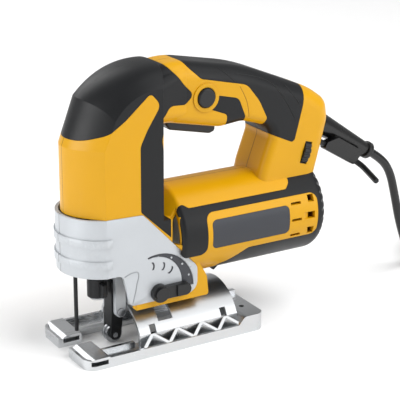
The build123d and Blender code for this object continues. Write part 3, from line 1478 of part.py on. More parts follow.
with BuildPart() as plug_body:
    loft([plug_slice(0, plug_neck_width, plug_neck_height, plug_neck_corner),
          plug_slice(plug_shoulder, plug_width, plug_height, plug_corner)])
    extrude(plug_slice(plug_shoulder, plug_width, plug_height, plug_corner), amount=plug_length - plug_shoulder)
keep(plug_body.part, "plug_body")
plug_face = plug_back + coil_exit * plug_length
with BuildPart() as plug_pins:
    for side in (-pin_spacing / 2, pin_spacing / 2):
        pin_root = plug_face + coil_exit.cross(Vector(0, 0, 1)) * side
        add(rod(pin_root, pin_root + coil_exit * pin_length, pin_diameter / 2))
    tips = plug_pins.edges().filter_by(GeomType.CIRCLE).sort_by_distance(plug_face)[-2:]
    fillet(tips, pin_diameter / 4)
keep(plug_pins.part, "plug_pins")
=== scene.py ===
"""Dress a packed jigsaw: finishes for every piece, the cord with its coil, fittings and a plain studio."""
import itertools
import math

import bpy
from bpy.props import FloatProperty, FloatVectorProperty, IntProperty, PointerProperty
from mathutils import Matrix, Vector


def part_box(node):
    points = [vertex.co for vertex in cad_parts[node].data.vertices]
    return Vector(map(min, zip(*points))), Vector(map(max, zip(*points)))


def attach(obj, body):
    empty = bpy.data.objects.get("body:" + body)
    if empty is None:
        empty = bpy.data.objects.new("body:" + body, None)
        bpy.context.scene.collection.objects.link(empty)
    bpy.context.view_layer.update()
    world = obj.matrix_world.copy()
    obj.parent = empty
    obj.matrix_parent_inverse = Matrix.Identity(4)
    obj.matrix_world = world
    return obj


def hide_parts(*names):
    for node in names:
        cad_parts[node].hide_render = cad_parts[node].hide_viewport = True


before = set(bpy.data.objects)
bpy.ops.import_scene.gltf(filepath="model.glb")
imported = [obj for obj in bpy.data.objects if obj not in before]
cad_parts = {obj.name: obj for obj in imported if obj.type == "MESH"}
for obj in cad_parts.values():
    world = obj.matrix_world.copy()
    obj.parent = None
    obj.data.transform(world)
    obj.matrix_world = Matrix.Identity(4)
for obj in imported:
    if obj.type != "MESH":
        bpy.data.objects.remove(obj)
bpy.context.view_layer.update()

bl_info = {
    "name": "Jigsaw dresser",
    "version": (1, 0, 0),
    "blender": (4, 5, 0),
    "location": "3D View > Sidebar > Jigsaw",
    "description": "Finishes, cord, fittings and studio for a jigsaw",
    "category": "Object",
}

MM = 0.001
MERGE_MM = 0.001         # points closer than this are one point
OVERCUT_MM = 1           # how far a cutter or a joined form reaches past the face that it works on
SMOOTH_DEGREES = 35      # edges sharper than this stay sharp


def linear(hex_colour):
    """Turn an sRGB hex colour into linear red, green and blue."""
    parts = [int(hex_colour[i:i + 2], 16) / 255 for i in (1, 3, 5)]
    return [c / 12.92 if c <= 0.04045 else ((c + 0.055) / 1.055) ** 2.4 for c in parts]


class JigsawColours(bpy.types.PropertyGroup):
    """Colours that a user would change."""

    shell: FloatVectorProperty(
        name="Shell", description="Moulded housing", subtype="COLOR", default=linear("#D09900"))
    rubber: FloatVectorProperty(
        name="Rubber", description="Soft grips and sleeve", subtype="COLOR", default=linear("#141517"))
    nylon: FloatVectorProperty(
        name="Nylon", description="Trigger, lever, button and dial", subtype="COLOR", default=linear("#0F1012"))
    cover: FloatVectorProperty(
        name="Cover", description="Silver paint on the gear cover", subtype="COLOR", default=linear("#BCC0C4"))
    plate: FloatVectorProperty(
        name="Plate", description="Bare side plate", subtype="COLOR", default=linear("#3B3D42"))


class JigsawSizes(bpy.types.PropertyGroup):
    """Sizes of the cord, its coil and the studio."""

    cord_diameter: FloatProperty(
        name="Cord", description="Diameter of the cord", default=7 * MM, unit="LENGTH")
    coil_turns: FloatProperty(
        name="Coil turns", description="Turns in each layer of the coil", default=2.25)
    coil_layers: IntProperty(
        name="Coil layers", description="Layers of the coil, one on the other", default=3)
    climb_turns: FloatProperty(
        name="Climb", description="Turns over which the cord climbs to the next layer", default=0.5)
    lift_turns: FloatProperty(
        name="Lift", description="Turns over which the end rises to the plug", default=0.375)
    coil_pitch: FloatProperty(
        name="Coil pitch", description="Distance between neighbouring turns", default=7.8 * MM, unit="LENGTH")
    coil_inner: FloatProperty(
        name="Coil inside", description="Radius of the innermost turn", default=31 * MM, unit="LENGTH")
    coil_rise: FloatProperty(
        name="Coil rise", description="Height of one layer above the last", default=7.6 * MM, unit="LENGTH")
    coil_lead: FloatProperty(
        name="Coil lead", description="Straight run at both ends of the coil", default=7 * MM, unit="LENGTH")
    points_per_turn: IntProperty(
        name="Points per turn", description="Control points in each turn of the coil", default=24)
    camera_lens: FloatProperty(
        name="Lens", description="Focal length of the camera", default=120.3, subtype="DISTANCE_CAMERA")


def show_only(piece):
    """Leave one object selected and active."""
    bpy.ops.object.select_all(action="DESELECT")
    piece.select_set(True)
    bpy.context.view_layer.objects.active = piece


def add_node(tree, kind, inputs=None, **settings):
    """Add one shader node, apply its settings, and set or link its inputs."""
    node = tree.nodes.new(kind)
    for name, value in settings.items():
        setattr(node, name, value)
    for name, value in (inputs or {}).items():
        if isinstance(value, bpy.types.NodeSocket):
            tree.links.new(value, node.inputs[name])
        else:
            node.inputs[name].default_value = value
    return node


BLOTCH_MM = 22.2             # size of the slow changes in tint and gloss
RELIEF_MM = 0.1              # height of the fine grain
SEAM_MM = (0.15, 0.35)       # from the middle plane: where the parting line fades, and where it has gone
SEAM_SHADE = 0.25            # share of the colour that is left in the parting line


def surface(name, colour, roughness, metallic=0.0, grain_mm=0.6, grain=0.1, tint=0.06, gloss=0.08,
            stretch=(1, 1, 1), edge_mm=0.4, seam=False, extra=None):
    """A material with a worked surface: fine grain in relief, uneven tint and gloss, softened edges and, where
    two moulded halves meet on the middle plane, the dark line between them."""
    made = bpy.data.materials.new(name)
    made.use_nodes = True
    tree = made.node_tree
    shader = tree.nodes["Principled BSDF"]
    place = add_node(tree, "ShaderNodeTexCoord").outputs["Object"]
    turned = add_node(tree, "ShaderNodeMapping", {"Vector": place, "Scale": stretch}).outputs["Vector"]
    # Grain from a mould, a coat or a grinding belt is about 0.1 mm: it is drawn coarser here, to show
    fine = add_node(tree, "ShaderNodeTexNoise", {
        "Vector": turned, "Scale": 1 / (grain_mm * MM), "Detail": 2.0})
    broad = add_node(tree, "ShaderNodeTexNoise", {
        "Vector": turned, "Scale": 1 / (BLOTCH_MM * MM), "Detail": 4.0})
    rounded = add_node(tree, "ShaderNodeBevel", {"Radius": edge_mm * MM}, samples=4)
    relief = add_node(tree, "ShaderNodeBump", {
        "Height": fine.outputs["Fac"], "Strength": grain, "Distance": RELIEF_MM * MM,
        "Normal": rounded.outputs["Normal"]})
    dark = [c * (1 - tint) for c in colour]
    light = [min(1, c * (1 + tint)) for c in colour]
    shade = add_node(tree, "ShaderNodeMix", {
        "Factor": broad.outputs["Fac"], "A": (*dark, 1), "B": (*light, 1)}, data_type="RGBA")
    if seam:
        # A real parting line is about 0.1 mm wide: it is drawn 0.5 mm wide here, so that it shows
        across = add_node(tree, "ShaderNodeSeparateXYZ", {"Vector": place}).outputs["Y"]
        away = add_node(tree, "ShaderNodeMath", {0: across}, operation="ABSOLUTE").outputs[0]
        beside = add_node(tree, "ShaderNodeMapRange", {
            "Value": away, "From Min": SEAM_MM[0] * MM, "From Max": SEAM_MM[1] * MM}).outputs["Result"]
        deep = [c * SEAM_SHADE for c in colour]
        shade = add_node(tree, "ShaderNodeMix", {
            "Factor": beside, "A": (*deep, 1), "B": shade.outputs["Result"]}, data_type="RGBA")
    worn = add_node(tree, "ShaderNodeMapRange", {
        "Value": broad.outputs["Fac"], "To Min": roughness - gloss, "To Max": roughness + gloss})
    tree.links.new(shade.outputs["Result"], shader.inputs["Base Color"])
    tree.links.new(worn.outputs["Result"], shader.inputs["Roughness"])
    tree.links.new(relief.outputs["Normal"], shader.inputs["Normal"])
    shader.inputs["Metallic"].default_value = metallic
    for socket, value in (extra or {}).items():
        shader.inputs[socket].default_value = value
    return made


def make_finishes():
    """Every material of the tool, by the finish that it gives."""
    colours = bpy.context.scene.jigsaw_colours
    return {
        # Injection-moulded ABS with a spark-eroded satin skin: a soft, even gloss
        "shell": surface("ABS_moulded_yellow", colours.shell, 0.36, grain_mm=0.5, grain=0.12, tint=0.03,
                         seam=True, extra={"IOR": 1.54, "Specular IOR Level": 0.3}),
        # Thermoplastic rubber moulded over the shell: dull, with a fine stipple
        "rubber": surface("TPE_overmould_black", colours.rubber, 0.42, grain_mm=0.7, grain=0.3, tint=0.2,
                          gloss=0.1, seam=True, extra={"IOR": 1.5, "Specular IOR Level": 0.3}),
        # Glass-filled nylon: satin black, a little mottled
        "nylon": surface("nylon_glass_filled_black", colours.nylon, 0.42, grain_mm=0.5, grain=0.15, tint=0.15),
        # Silver-grey paint on the die-cast cover: pale, with a faint metal flake
        "cover": surface("paint_silver_grey", colours.cover, 0.42, metallic=0.25, grain_mm=0.35, grain=0.12,
                         tint=0.05, seam=True),
        # Anodised sheet for the bare plate: satin, brushed lengthways
        "plate": surface("aluminium_anodised_grey", colours.plate, 0.4, metallic=0.35, grain_mm=0.5, grain=0.2,
                         stretch=(0.05, 1, 1)),
        # Die-cast aluminium, ground and polished: bright, with soft streaks along the sole
        "aluminium": surface("aluminium_cast_polished", linear("#CFD1D3"), 0.27, metallic=1.0, grain_mm=0.6,
                             grain=0.15, tint=0.08, gloss=0.1, stretch=(0.1, 1, 1)),
        # Bright-plated sheet steel
        "plated": surface("steel_zinc_plated", linear("#C6C8CA"), 0.33, metallic=1.0, grain_mm=0.8, grain=0.08,
                          stretch=(0.15, 1, 1)),
        # Turned and ground steel
        "steel": surface("steel_ground", linear("#A9ABAE"), 0.28, metallic=1.0, grain_mm=0.4, grain=0.15,
                         stretch=(1, 1, 0.1)),
        # Black-oxide steel: nearly black with a dull metal sheen
        "oxide": surface("steel_black_oxide", linear("#1A1B1D"), 0.45, metallic=0.4, grain_mm=0.5, grain=0.15),
        # Stacked electrical sheet, seen as fine lines across the stack
        "lamination": surface("steel_laminated", linear("#6E7074"), 0.4, metallic=0.9, grain_mm=0.5, grain=0.5,
                              stretch=(1, 0.05, 0.05)),
        # Enamelled winding wire
        "copper": surface("copper_enamelled", linear("#B5652F"), 0.3, metallic=0.8, grain_mm=0.9, grain=0.5),
        # Sintered bronze bush
        "bronze": surface("bronze_sintered", linear("#8C6A36"), 0.5, metallic=0.8, grain_mm=0.4, grain=0.3),
        # Pressed carbon
        "carbon": surface("carbon_pressed", linear("#26272A"), 0.7, grain_mm=0.4, grain=0.3),
        # Natural nylon of the fan
        "natural": surface("nylon_natural", linear("#D8D6CC"), 0.45, grain_mm=0.6, grain=0.1),
        # Solder-masked circuit board
        "board": surface("circuit_board_green", linear("#1F5A34"), 0.35, grain_mm=1.0, grain=0.1),
        # Flexible PVC sheath of the cord: smooth black with a long soft highlight
        "sheath": surface("PVC_sheath_black", linear("#0B0B0C"), 0.26, grain_mm=0.8, grain=0.1, tint=0.2),
        # The shadow in a moulded groove of the shell
        "groove": surface("ABS_groove_ochre", linear("#8A5E00"), 0.5, grain_mm=0.5, grain=0.1),
        # The shadow along a moulded step of the painted cover
        "step": surface("paint_shaded_grey", linear("#9A9EA2"), 0.5, metallic=0.25, grain_mm=0.35, grain=0.12),
        # Printed scale on the cover
        "print": surface("ink_dark_grey", linear("#3A3C42"), 0.5, grain_mm=0.5, grain=0.1),
    }


NODE_FINISHES = {
    "shell": ["housing_left", "housing_right"],
    "rubber": ["nose_grip_left", "nose_grip_right", "handle_grip_left", "handle_grip_right", "finger_pad_left",
               "finger_pad_right", "motor_sleeve_left", "motor_sleeve_right"],
    "sheath": ["strain_relief", "plug_body"],
    "nylon": ["trigger", "selector_lever", "lock_button", "speed_dial", "switch_module", "brush_holders",
              "cord_clamp", "coil_tie"],
    "plate": ["side_plate"],
    "cover": ["gear_cover_left", "gear_cover_right", "case_foot"],
    "aluminium": ["sole_plate", "gear_case"],
    "plated": ["bevel_saddle", "plug_pins"],
    "steel": ["plunger", "blade_clamp_body", "drive_gear", "gear_axle", "pinion", "armature_shaft",
              "guide_roller", "roller_pin", "fork_pin", "trigger_pin", "front_bearing", "rear_bearing"],
    "oxide": ["bevel_clamp_plate", "bevel_clamp_screw", "roller_fork", "hex_key", "housing_screws",
              "blade_clamp_collar", "finger_guard"],
    "lamination": ["armature_core", "stator_core"],
    "copper": ["armature_windings", "field_coils", "commutator"],
    "bronze": ["plunger_bush_lower", "plunger_bush_upper"],
    "carbon": ["brushes"],
    "natural": ["fan"],
    "board": ["speed_board"],
}


class JIGSAW_OT_finishes(bpy.types.Operator):
    """Give every carried-over piece its finish"""

    bl_idname = "jigsaw.finishes"
    bl_label = "Finishes"

    def execute(self, context):
        finishes = make_finishes()
        for finish, nodes in NODE_FINISHES.items():
            for node in nodes:
                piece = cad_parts[node]
                piece.data.materials.clear()
                piece.data.materials.append(finishes[finish])
        return {"FINISHED"}


ROUTE_MM = [
    (198, 0, 112.5), (211.71, 0, 104.25), (221.8, 0, 91), (228, 0, 70), (233.6, 0, 48.5), (241.2, 0, 27.8),
    (248.4, 3.2, 16.8), (257.4, 9.3, 8.8), (267.2, 17.5, 4.5), (277.1, 27.4, 4.5),
]


def add_path(points, smoothness):
    """A smooth curve through space that begins and ends on the first and last of its points, in metres."""
    bpy.ops.object.select_all(action="DESELECT")
    bpy.ops.curve.primitive_nurbs_path_add()
    path = bpy.context.object
    path.data.splines.clear()
    spline = path.data.splines.new("NURBS")
    spline.points.add(len(points) - 1)
    for place, point in zip(spline.points, points):
        place.co = (*point, 1)
    spline.order_u = 3
    spline.use_endpoint_u = True
    spline.resolution_u = smoothness
    return path


def ease(share):
    """A smooth step from 0 to 1, level before and after."""
    inside = min(max(share, 0), 1)
    return inside * inside * (3 - 2 * inside)


def coil_points(sizes, start, entry, plug_height):
    """The coil: layers wound inward and outward by turns, then up to the plug that lies on top."""
    outer = sizes.coil_inner + sizes.coil_turns * sizes.coil_pitch
    centre = start + entry * sizes.coil_lead + entry.cross(Vector((0, 0, 1))) * outer
    first = math.pi / 2 + math.atan2(entry.y, entry.x)
    layer_turns = sizes.coil_turns + sizes.climb_turns
    wound = sizes.coil_layers * layer_turns - sizes.climb_turns
    total = wound + sizes.lift_turns
    top = (sizes.coil_layers - 1) * sizes.coil_rise
    count = round(total * sizes.points_per_turn)
    points = []
    for i in range(count + 1):
        turn = total * i / count
        swing = (turn + sizes.climb_turns / 2) % (2 * layer_turns)
        inward = min(swing, 2 * layer_turns - swing) - sizes.climb_turns / 2
        radius = outer - sizes.coil_pitch * inward
        climbs = [ease((turn - layer * layer_turns) / sizes.climb_turns + 1)
                  for layer in range(1, sizes.coil_layers)]
        lift = (plug_height - start.z - top) * ease((turn - wound) / sizes.lift_turns)
        angle = first - 2 * math.pi * turn
        height = sizes.coil_rise * sum(climbs) + lift
        points.append(centre + Vector((radius * math.cos(angle), radius * math.sin(angle), height)))
    angle = first - 2 * math.pi * total
    points.append(points[-1] + Vector((math.sin(angle), -math.cos(angle), 0)) * sizes.coil_lead)
    return points


class JIGSAW_OT_cord(bpy.types.Operator):
    """Lay the cord from its sleeve to the floor and wind the spare length into a tied coil"""

    bl_idname = "jigsaw.cord"
    bl_label = "Cord"

    def execute(self, context):
        sizes = context.scene.jigsaw_sizes
        route = [Vector(point) * MM for point in ROUTE_MM]
        entry = (route[-1] - route[-2]).normalized()
        plug_low, plug_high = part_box("plug_body")
        plug_height = (plug_low[2] + plug_high[2]) / 2
        points = route + coil_points(sizes, route[-1], entry, plug_height)
        cord = add_path(points, 6)
        cord.name = "power_cord_sheath"
        line = cord.data
        line.bevel_depth = sizes.cord_diameter / 2
        line.bevel_resolution = 5
        line.use_fill_caps = True
        line.materials.append(bpy.data.materials["PVC_sheath_black"])
        bpy.context.view_layer.update()
        flat = line.copy()
        flat.bevel_depth = 0
        probe = bpy.data.objects.new("cord_probe", flat)
        context.collection.objects.link(probe)
        bpy.context.view_layer.update()
        traced = bpy.data.meshes.new_from_object(probe)
        bpy.data.objects.remove(probe)
        bpy.data.meshes.remove(traced)
        bpy.data.curves.remove(flat)
        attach(cord, "housing")
        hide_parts("power_cord", "cord_coil")
        return {"FINISHED"}


def settle(piece, finish, body):
    """Apply a piece's place, give it its finish, and hang it on the empty of the body that it rides on."""
    show_only(piece)
    bpy.ops.object.transform_apply(location=True, rotation=True, scale=True)
    bpy.ops.object.mode_set(mode="EDIT")
    bpy.ops.mesh.select_all(action="SELECT")
    bpy.ops.mesh.remove_doubles(threshold=MERGE_MM * MM)
    bpy.ops.mesh.normals_make_consistent(inside=False)
    bpy.ops.object.mode_set(mode="OBJECT")
    bpy.ops.object.shade_smooth_by_angle(angle=math.radians(SMOOTH_DEGREES))
    piece.data.materials.clear()
    piece.data.materials.append(bpy.data.materials[finish])
    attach(piece, body)


def add_box(low, high):
    """A box between two corners, in millimetres."""
    bpy.ops.object.select_all(action="DESELECT")
    bpy.ops.mesh.primitive_cube_add(size=1)
    box = bpy.context.object
    box.scale = (Vector(high) - Vector(low)) * MM
    box.location = (Vector(high) + Vector(low)) / 2 * MM
    bpy.ops.object.transform_apply(location=True, rotation=True, scale=True)
    return box


def join(pieces, name):
    """Join several objects into one named object."""
    bpy.ops.object.select_all(action="DESELECT")
    for piece in pieces:
        piece.select_set(True)
    bpy.context.view_layer.objects.active = pieces[0]
    bpy.ops.object.join()
    pieces[0].name = name
    return pieces[0]


def add_disc(x, z, radius, front, back, sides=96):
    """A round disc that faces the left side of the tool, in millimetres."""
    bpy.ops.object.select_all(action="DESELECT")
    bpy.ops.mesh.primitive_cylinder_add(
        vertices=sides, radius=radius * MM, depth=(back - front) * MM,
        rotation=(math.radians(90), 0, 0), location=Vector((x, (front + back) / 2, z)) * MM)
    disc = bpy.context.object
    bpy.ops.object.transform_apply(location=True, rotation=True, scale=True)
    return disc


def cut(piece, cutter, operation):
    """Cut one object with another, or unite the two, and take the other away."""
    knife = piece.modifiers.new("cut", "BOOLEAN")
    knife.object = cutter
    knife.operation = operation
    knife.use_self = True
    show_only(piece)
    bpy.ops.object.modifier_apply(modifier=knife.name)
    bpy.data.objects.remove(cutter)


def soften(piece, width):
    """Round a piece's sharp edges, by a width in millimetres."""
    show_only(piece)
    rounded = piece.modifiers.new("rounded", "BEVEL")
    rounded.width = width * MM
    rounded.segments = 3
    rounded.limit_method = "ANGLE"
    bpy.ops.object.modifier_apply(modifier=rounded.name)


def copy_to(piece, place, turn=0.0):
    """Copy a piece, with a mesh of its own, to a place in millimetres, turned in the side view by degrees."""
    show_only(piece)
    bpy.ops.object.duplicate()
    made = bpy.context.object
    made.location = Vector(place) * MM
    made.rotation_euler = (0, -math.radians(turn), 0)
    bpy.ops.object.transform_apply(location=True, rotation=True, scale=True)
    return made


SELECTOR_MM = (-13, 46)              # pivot of the lever in the side view
COVER_FACE_MM = -30.6                # flat flank of the gear cover
SCALE_FLOOR_MM = -29.6               # bottom of the recess in it
SCALE_RADIUS_MM = 29.4               # outer edge of the crescent, from the pivot
SCALE_INNER_MM = (-3.2, 4.9, 22.9)   # shift of the inner edge from the pivot, and its radius
SCALE_LEAN_MM = (40, 11.6)           # reach of the cutters, and how far the left end leans over that reach
SCALE_GAP_MM = 0.3                   # gap between the dark inlay and the edge of its recess
SCALE_INLAY_MM = 0.5                 # thickness of the inlay
DOT_ANGLES = (18, 42, 66, 90)
DOT_MM = {"radius": 0.8, "from_pivot": 27, "above": 0.3, "below": 0.2, "edge": 0.15}
TICK_PLACES_MM = [(-3.8, 21.3, 94), (4.8, 19.3, 78), (10.7, 14.9, 54)]   # from the pivot, and lean in degrees
TICK_MM = {"length": 6, "thick": 1.2, "bend": 5.2, "above": 0.25, "below": 0.5, "edge": 0.1}


def add_crescent(name, grow, front, back):
    """The crescent round the lever, grown by a margin, between two depths in millimetres."""
    x, z = SELECTOR_MM
    reach, lean = SCALE_LEAN_MM
    shift_x, shift_z, inner = SCALE_INNER_MM
    crescent = add_disc(x, z, SCALE_RADIUS_MM + grow, front, back)
    crescent.name = name
    before, behind = front - OVERCUT_MM, back + OVERCUT_MM
    cut(crescent, add_disc(x + shift_x, z + shift_z, inner - grow, before, behind), "DIFFERENCE")
    below = add_box((x - reach, before, z - reach), (x + reach, behind, z + SCALE_GAP_MM - grow))
    cut(crescent, below, "DIFFERENCE")
    left = add_box((-2 * reach, before, -reach), (-SCALE_GAP_MM - grow, behind, 2 * reach))
    left.rotation_euler = (0, -math.atan2(lean, reach), 0)
    left.location = Vector((x, 0, z)) * MM
    show_only(left)
    bpy.ops.object.transform_apply(location=True, rotation=True, scale=True)
    cut(crescent, left, "DIFFERENCE")
    return crescent


class JIGSAW_OT_scale(bpy.types.Operator):
    """Sink the crescent into the cover above the lever, with a dot and a raised tick for each setting"""

    bl_idname = "jigsaw.scale"
    bl_label = "Selector scale"

    def execute(self, context):
        x, z = SELECTOR_MM
        show_only(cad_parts["gear_cover_left"])
        bpy.ops.object.duplicate()
        cover = context.object
        cover.name = "cover_left_with_scale"
        bpy.ops.object.mode_set(mode="EDIT")
        bpy.ops.mesh.select_all(action="SELECT")
        bpy.ops.mesh.remove_doubles(threshold=MERGE_MM * MM)
        bpy.ops.object.mode_set(mode="OBJECT")
        recess = add_crescent("scale_cutter", SCALE_GAP_MM, COVER_FACE_MM - OVERCUT_MM, SCALE_FLOOR_MM)
        cut(cover, recess, "DIFFERENCE")
        settle(cover, "paint_silver_grey", "housing")
        even = cover.modifiers.new("even_normals", "WEIGHTED_NORMAL")
        even.weight = 100
        even.keep_sharp = True
        bpy.ops.object.modifier_apply(modifier=even.name)
        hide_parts("gear_cover_left")
        face = SCALE_FLOOR_MM - SCALE_INLAY_MM
        crescent = add_crescent("selector_scale", 0, face, SCALE_FLOOR_MM)
        settle(crescent, "ink_dark_grey", "housing")

        dot = add_disc(0, 0, DOT_MM["radius"], face - DOT_MM["above"], face + DOT_MM["below"], sides=20)
        soften(dot, DOT_MM["edge"])
        dots = []
        for angle in map(math.radians, DOT_ANGLES):
            over, up = DOT_MM["from_pivot"] * math.cos(angle), DOT_MM["from_pivot"] * math.sin(angle)
            dots.append(copy_to(dot, (x + over, 0, z + up)))
        bpy.data.objects.remove(dot)
        settle(join(dots, "selector_dots"), "paint_silver_grey", "housing")

        half, thick, bend = TICK_MM["length"] / 2, TICK_MM["thick"], TICK_MM["bend"]
        outer, inner = COVER_FACE_MM - TICK_MM["above"], COVER_FACE_MM + TICK_MM["below"]
        before, behind = outer - OVERCUT_MM, inner + OVERCUT_MM
        middle = bend - thick / 2
        tick = add_disc(0, middle, bend, outer, inner)
        cut(tick, add_disc(0, middle, bend - thick, before, behind), "DIFFERENCE")
        cut(tick, add_box((-half, before, -thick), (half, behind, bend / 2)), "INTERSECT")
        soften(tick, TICK_MM["edge"])
        ticks = [copy_to(tick, (x + over, 0, z + up), lean) for over, up, lean in TICK_PLACES_MM]
        bpy.data.objects.remove(tick)
        settle(join(ticks, "selector_ticks"), "ink_dark_grey", "housing")
        return {"FINISHED"}


LEVER_MM = {"back": -31, "front": -35, "reach": 25, "hub": 6.8, "tip": 4.8, "edge": 0.9, "shaft": 4,
            "shaft_end": -16}
LEVER_BOSS_MM = {"radius": 5.2, "front": -37.4}
LEVER_PAD_MM = {"start": 13, "radius": 4.2, "front": -36.4}


class JIGSAW_OT_lever(bpy.types.Operator):
    """Shape the lever as a flat bar with a round boss on its pivot and a raised pad for the thumb"""

    bl_idname = "jigsaw.lever"
    bl_label = "Selector lever"

    def execute(self, context):
        x, z = SELECTOR_MM
        back, front, tip = LEVER_MM["back"], LEVER_MM["front"], LEVER_MM["tip"]
        end = x + LEVER_MM["reach"] - tip
        pad, pad_front = LEVER_PAD_MM["radius"], LEVER_PAD_MM["front"]
        lever = add_disc(x, z, LEVER_MM["hub"], front, back)
        lever.name = "pendulum_lever"
        for extra in (add_box((x, front, z - tip), (end, back, z + tip)), add_disc(end, z, tip, front, back)):
            cut(lever, extra, "UNION")
        soften(lever, LEVER_MM["edge"])
        root = front + OVERCUT_MM
        for extra in (add_box((x + LEVER_PAD_MM["start"], pad_front, z - pad), (end, root, z + pad)),
                      add_disc(end, z, pad, pad_front, root),
                      add_disc(x, z, LEVER_BOSS_MM["radius"], LEVER_BOSS_MM["front"], root),
                      add_disc(x, z, LEVER_MM["shaft"], back - OVERCUT_MM, LEVER_MM["shaft_end"])):
            cut(lever, extra, "UNION")
        settle(lever, "nylon_glass_filled_black", "selector")
        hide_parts("selector_lever")
        return {"FINISHED"}


# Place in the side view, and depth of the seat under the head
SCREWS_MM = [(-64, 128, 11), (-18, 166, 22), (72, 181, 13), (112, 162, 13), (25, 56, 18), (114, 55, 16)]
SCREW_SHANK_MM = {"radius": 2, "reach": 8}
SCREW_HEAD_MM = {"radius": 3.5, "height": 3, "edge": 0.8}
SCREW_CROSS_MM = {"arm": 2.2, "half_width": 0.5, "depth": 1.4}


class JIGSAW_OT_screws(bpy.types.Operator):
    """Put a cross-recess screw in each hole on the right side"""

    bl_idname = "jigsaw.screws"
    bl_label = "Housing screws"

    def execute(self, context):
        top = SCREW_HEAD_MM["height"]
        head = add_disc(0, 0, SCREW_HEAD_MM["radius"], 0, top, sides=32)
        soften(head, SCREW_HEAD_MM["edge"])
        arm, half = SCREW_CROSS_MM["arm"], SCREW_CROSS_MM["half_width"]
        floor, above = top - SCREW_CROSS_MM["depth"], top + OVERCUT_MM
        arms = join([add_box((-arm, floor, -half), (arm, above, half)),
                     add_box((-half, floor, -arm), (half, above, arm))], "recess_cutter")
        cut(head, arms, "DIFFERENCE")
        made = []
        for x, z, seat in SCREWS_MM:
            shank = add_disc(x, z, SCREW_SHANK_MM["radius"], -SCREW_SHANK_MM["reach"], seat, sides=20)
            made += [copy_to(head, (x, seat, z)), shank]
        bpy.data.objects.remove(head)
        screws = join(made, "cross_screws")
        settle(screws, "steel_black_oxide", "housing")
        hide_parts("housing_screws")
        return {"FINISHED"}


LINE_START_MM = 40       # beside the tool, from where a line is laid on its piece
LINE_LIMIT_MM = 35       # a point that stays further out than this has missed its piece
# By piece, finish, slot and thickness: the lines that it carries, in the side view
CREASES_MM = {
    # The handle's lines take the nylon black, darker than the rubber under them: painted shade in the grip's
    # creases
    ("handle_grip", "nylon_glass_filled_black", "black_rubber", 0.3): [
        [(44, 203), (50.4, 198.5), (56.5, 192)],
        [(58.2, 197.5), (71.5, 194.5), (87.7, 188.5), (96.1, 178.9), (105, 167), (111.5, 155)],
        [(101.5, 183.5), (108.6, 175.5), (115, 166.5)],
    ],
    ("housing", "ABS_groove_ochre", "yellow_shell", 0.2): [
        [(60.8, 188), (64.6, 181.5), (68, 174), (69.2, 164)],
    ],
    ("gear_cover", "paint_shaded_grey", "silver_cover", 0.45): [
        [(-40.6, 63.2), (-38, 64.5), (-33.5, 65.6), (-29.2, 65.2), (-29.3, 60.5), (-30.7, 56.8), (-31.6, 51.6),
         (-32.9, 46.4), (-34.3, 41.2)],
    ],
}


def lay_line(points, side, carrier, thick):
    """Lay a thin moulded line on one side of a piece, along points in millimetres."""
    line = add_path([Vector((x, side * LINE_START_MM, z)) * MM for x, z in points], 12)
    bpy.ops.object.convert(target="MESH")
    wrap = line.modifiers.new("lie_on_piece", "SHRINKWRAP")
    wrap.target = carrier
    wrap.wrap_method = "PROJECT"
    wrap.use_project_y = True
    wrap.use_negative_direction = side > 0
    wrap.use_positive_direction = side < 0
    bpy.ops.object.modifier_apply(modifier=wrap.name)
    if any(abs(vertex.co.y) > LINE_LIMIT_MM * MM for vertex in line.data.vertices):
        raise RuntimeError("a line runs past the edge of its piece")
    bpy.ops.object.convert(target="CURVE")
    line.data.bevel_depth = thick * MM
    line.data.bevel_resolution = 2
    line.data.use_fill_caps = True
    bpy.ops.object.convert(target="MESH")
    return line


class JIGSAW_OT_creases(bpy.types.Operator):
    """Lay the fine moulded lines on both sides of the handle and the gear cover; their darker colours are
    painted shade
    """

    bl_idname = "jigsaw.creases"
    bl_label = "Moulded lines"

    def execute(self, context):
        hands = (("left", -1), ("right", 1))
        for (kind, creases), (hand, side) in itertools.product(CREASES_MM.items(), hands):
            carrier, finish, slot, thick = kind
            node = carrier + "_" + hand
            lines = [lay_line(points, side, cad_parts[node], thick) for points in creases]
            settle(join(lines, node + "_creases"), finish, "housing")
        return {"FINISHED"}


CAMERA_MM = (-452.3, -810.3, 429.3)
CAMERA_SHIFT = (0.0583, 0.0376)
AIM_MM = (20, 0, 90)             # what the camera and the lamps point at
FLOOR_WIDTH = 12                 # metres
AIR_STRENGTH = 0.42
# Name, kind, place in metres, angle of the sun or width of a panel in metres, and power
LAMPS = [
    ("soft_overhead", "SUN", (0.55, -0.5, 1.2), math.radians(45), 2.0),
    ("top_panel", "AREA", (0.5, -0.4, 1.0), 0.8, 2.4),
    ("right_panel", "AREA", (0.9, -1.2, 0.6), 0.9, 6),
    ("left_panel", "AREA", (-1.2, 0.0, 0.5), 0.8, 9),
    ("back_panel", "AREA", (-0.2, 1.2, 0.9), 0.9, 5),
]


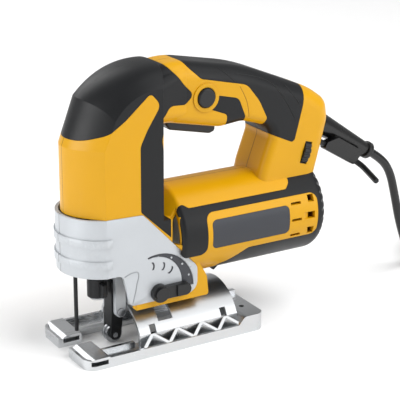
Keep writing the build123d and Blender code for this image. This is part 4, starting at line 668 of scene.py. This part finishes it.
class JIGSAW_OT_stage(bpy.types.Operator):
    """Set up the camera, a pale floor and soft studio light"""

    bl_idname = "jigsaw.stage"
    bl_label = "Stage"

    def execute(self, context):
        sizes = context.scene.jigsaw_sizes
        aim = Vector(AIM_MM) * MM
        view = bpy.data.cameras.new("photo_camera")
        view.lens = sizes.camera_lens
        view.shift_x, view.shift_y = CAMERA_SHIFT
        camera = bpy.data.objects.new("photo_camera", view)
        camera.location = Vector(CAMERA_MM) * MM
        camera.rotation_euler = (aim - camera.location).to_track_quat("-Z", "Y").to_euler()
        context.collection.objects.link(camera)
        context.scene.camera = camera

        bpy.ops.object.select_all(action="DESELECT")
        bpy.ops.mesh.primitive_plane_add(size=FLOOR_WIDTH, location=(0, 0, 0))
        floor = context.object
        floor.name = "studio_floor"
        bpy.ops.object.transform_apply(location=True, rotation=True, scale=True)
        # Matt white paint, rolled on: plain, with only a faint stipple
        paint = surface("floor_painted_white", linear("#F6F6F6"), 0.6, grain_mm=4.0, grain=0.02, tint=0.01)
        floor.data.materials.append(paint)

        for name, kind, place, spread, power in LAMPS:
            lamp = bpy.data.lights.new(name, kind)
            lamp.energy = power
            if kind == "SUN":
                lamp.angle = spread
            else:
                lamp.size = spread
            light = bpy.data.objects.new(name, lamp)
            light.visible_glossy = kind != "SUN"      # highlights come from the panels alone
            light.location = place
            light.rotation_euler = (aim - light.location).to_track_quat("-Z", "Y").to_euler()
            context.collection.objects.link(light)

        world = bpy.data.worlds.new("studio_air")
        world.use_nodes = True
        air = world.node_tree.nodes["Background"]
        air.inputs["Color"].default_value = (1, 1, 1, 1)
        air.inputs["Strength"].default_value = AIR_STRENGTH
        context.scene.world = world
        context.scene.view_settings.view_transform = "Standard"
        return {"FINISHED"}


class JIGSAW_PT_sidebar(bpy.types.Panel):
    """The dresser's steps in the sidebar"""

    bl_label = "Jigsaw"
    bl_idname = "JIGSAW_PT_sidebar"
    bl_space_type = "VIEW_3D"
    bl_region_type = "UI"
    bl_category = "Jigsaw"

    def draw(self, context):
        for step in STEPS:
            self.layout.operator(step.bl_idname)
        for name in JigsawColours.__annotations__:
            self.layout.prop(context.scene.jigsaw_colours, name)
        for name in JigsawSizes.__annotations__:
            self.layout.prop(context.scene.jigsaw_sizes, name)


STEPS = (JIGSAW_OT_finishes, JIGSAW_OT_stage, JIGSAW_OT_cord, JIGSAW_OT_scale, JIGSAW_OT_lever,
         JIGSAW_OT_screws, JIGSAW_OT_creases)
CLASSES = (JigsawColours, JigsawSizes, *STEPS, JIGSAW_PT_sidebar)


def register():
    """Make the dresser known to Blender."""
    for made in CLASSES:
        bpy.utils.register_class(made)
    bpy.types.Scene.jigsaw_colours = PointerProperty(type=JigsawColours)
    bpy.types.Scene.jigsaw_sizes = PointerProperty(type=JigsawSizes)


def unregister():
    """Take the dresser out again."""
    del bpy.types.Scene.jigsaw_sizes
    del bpy.types.Scene.jigsaw_colours
    for made in reversed(CLASSES):
        bpy.utils.unregister_class(made)


def main():
    """Run every step in order."""
    register()
    bpy.ops.jigsaw.finishes()
    bpy.ops.jigsaw.stage()
    bpy.ops.jigsaw.cord()
    bpy.ops.jigsaw.scale()
    bpy.ops.jigsaw.lever()
    bpy.ops.jigsaw.screws()
    bpy.ops.jigsaw.creases()
    bpy.context.view_layer.update()


if __name__ == "__main__":
    main()
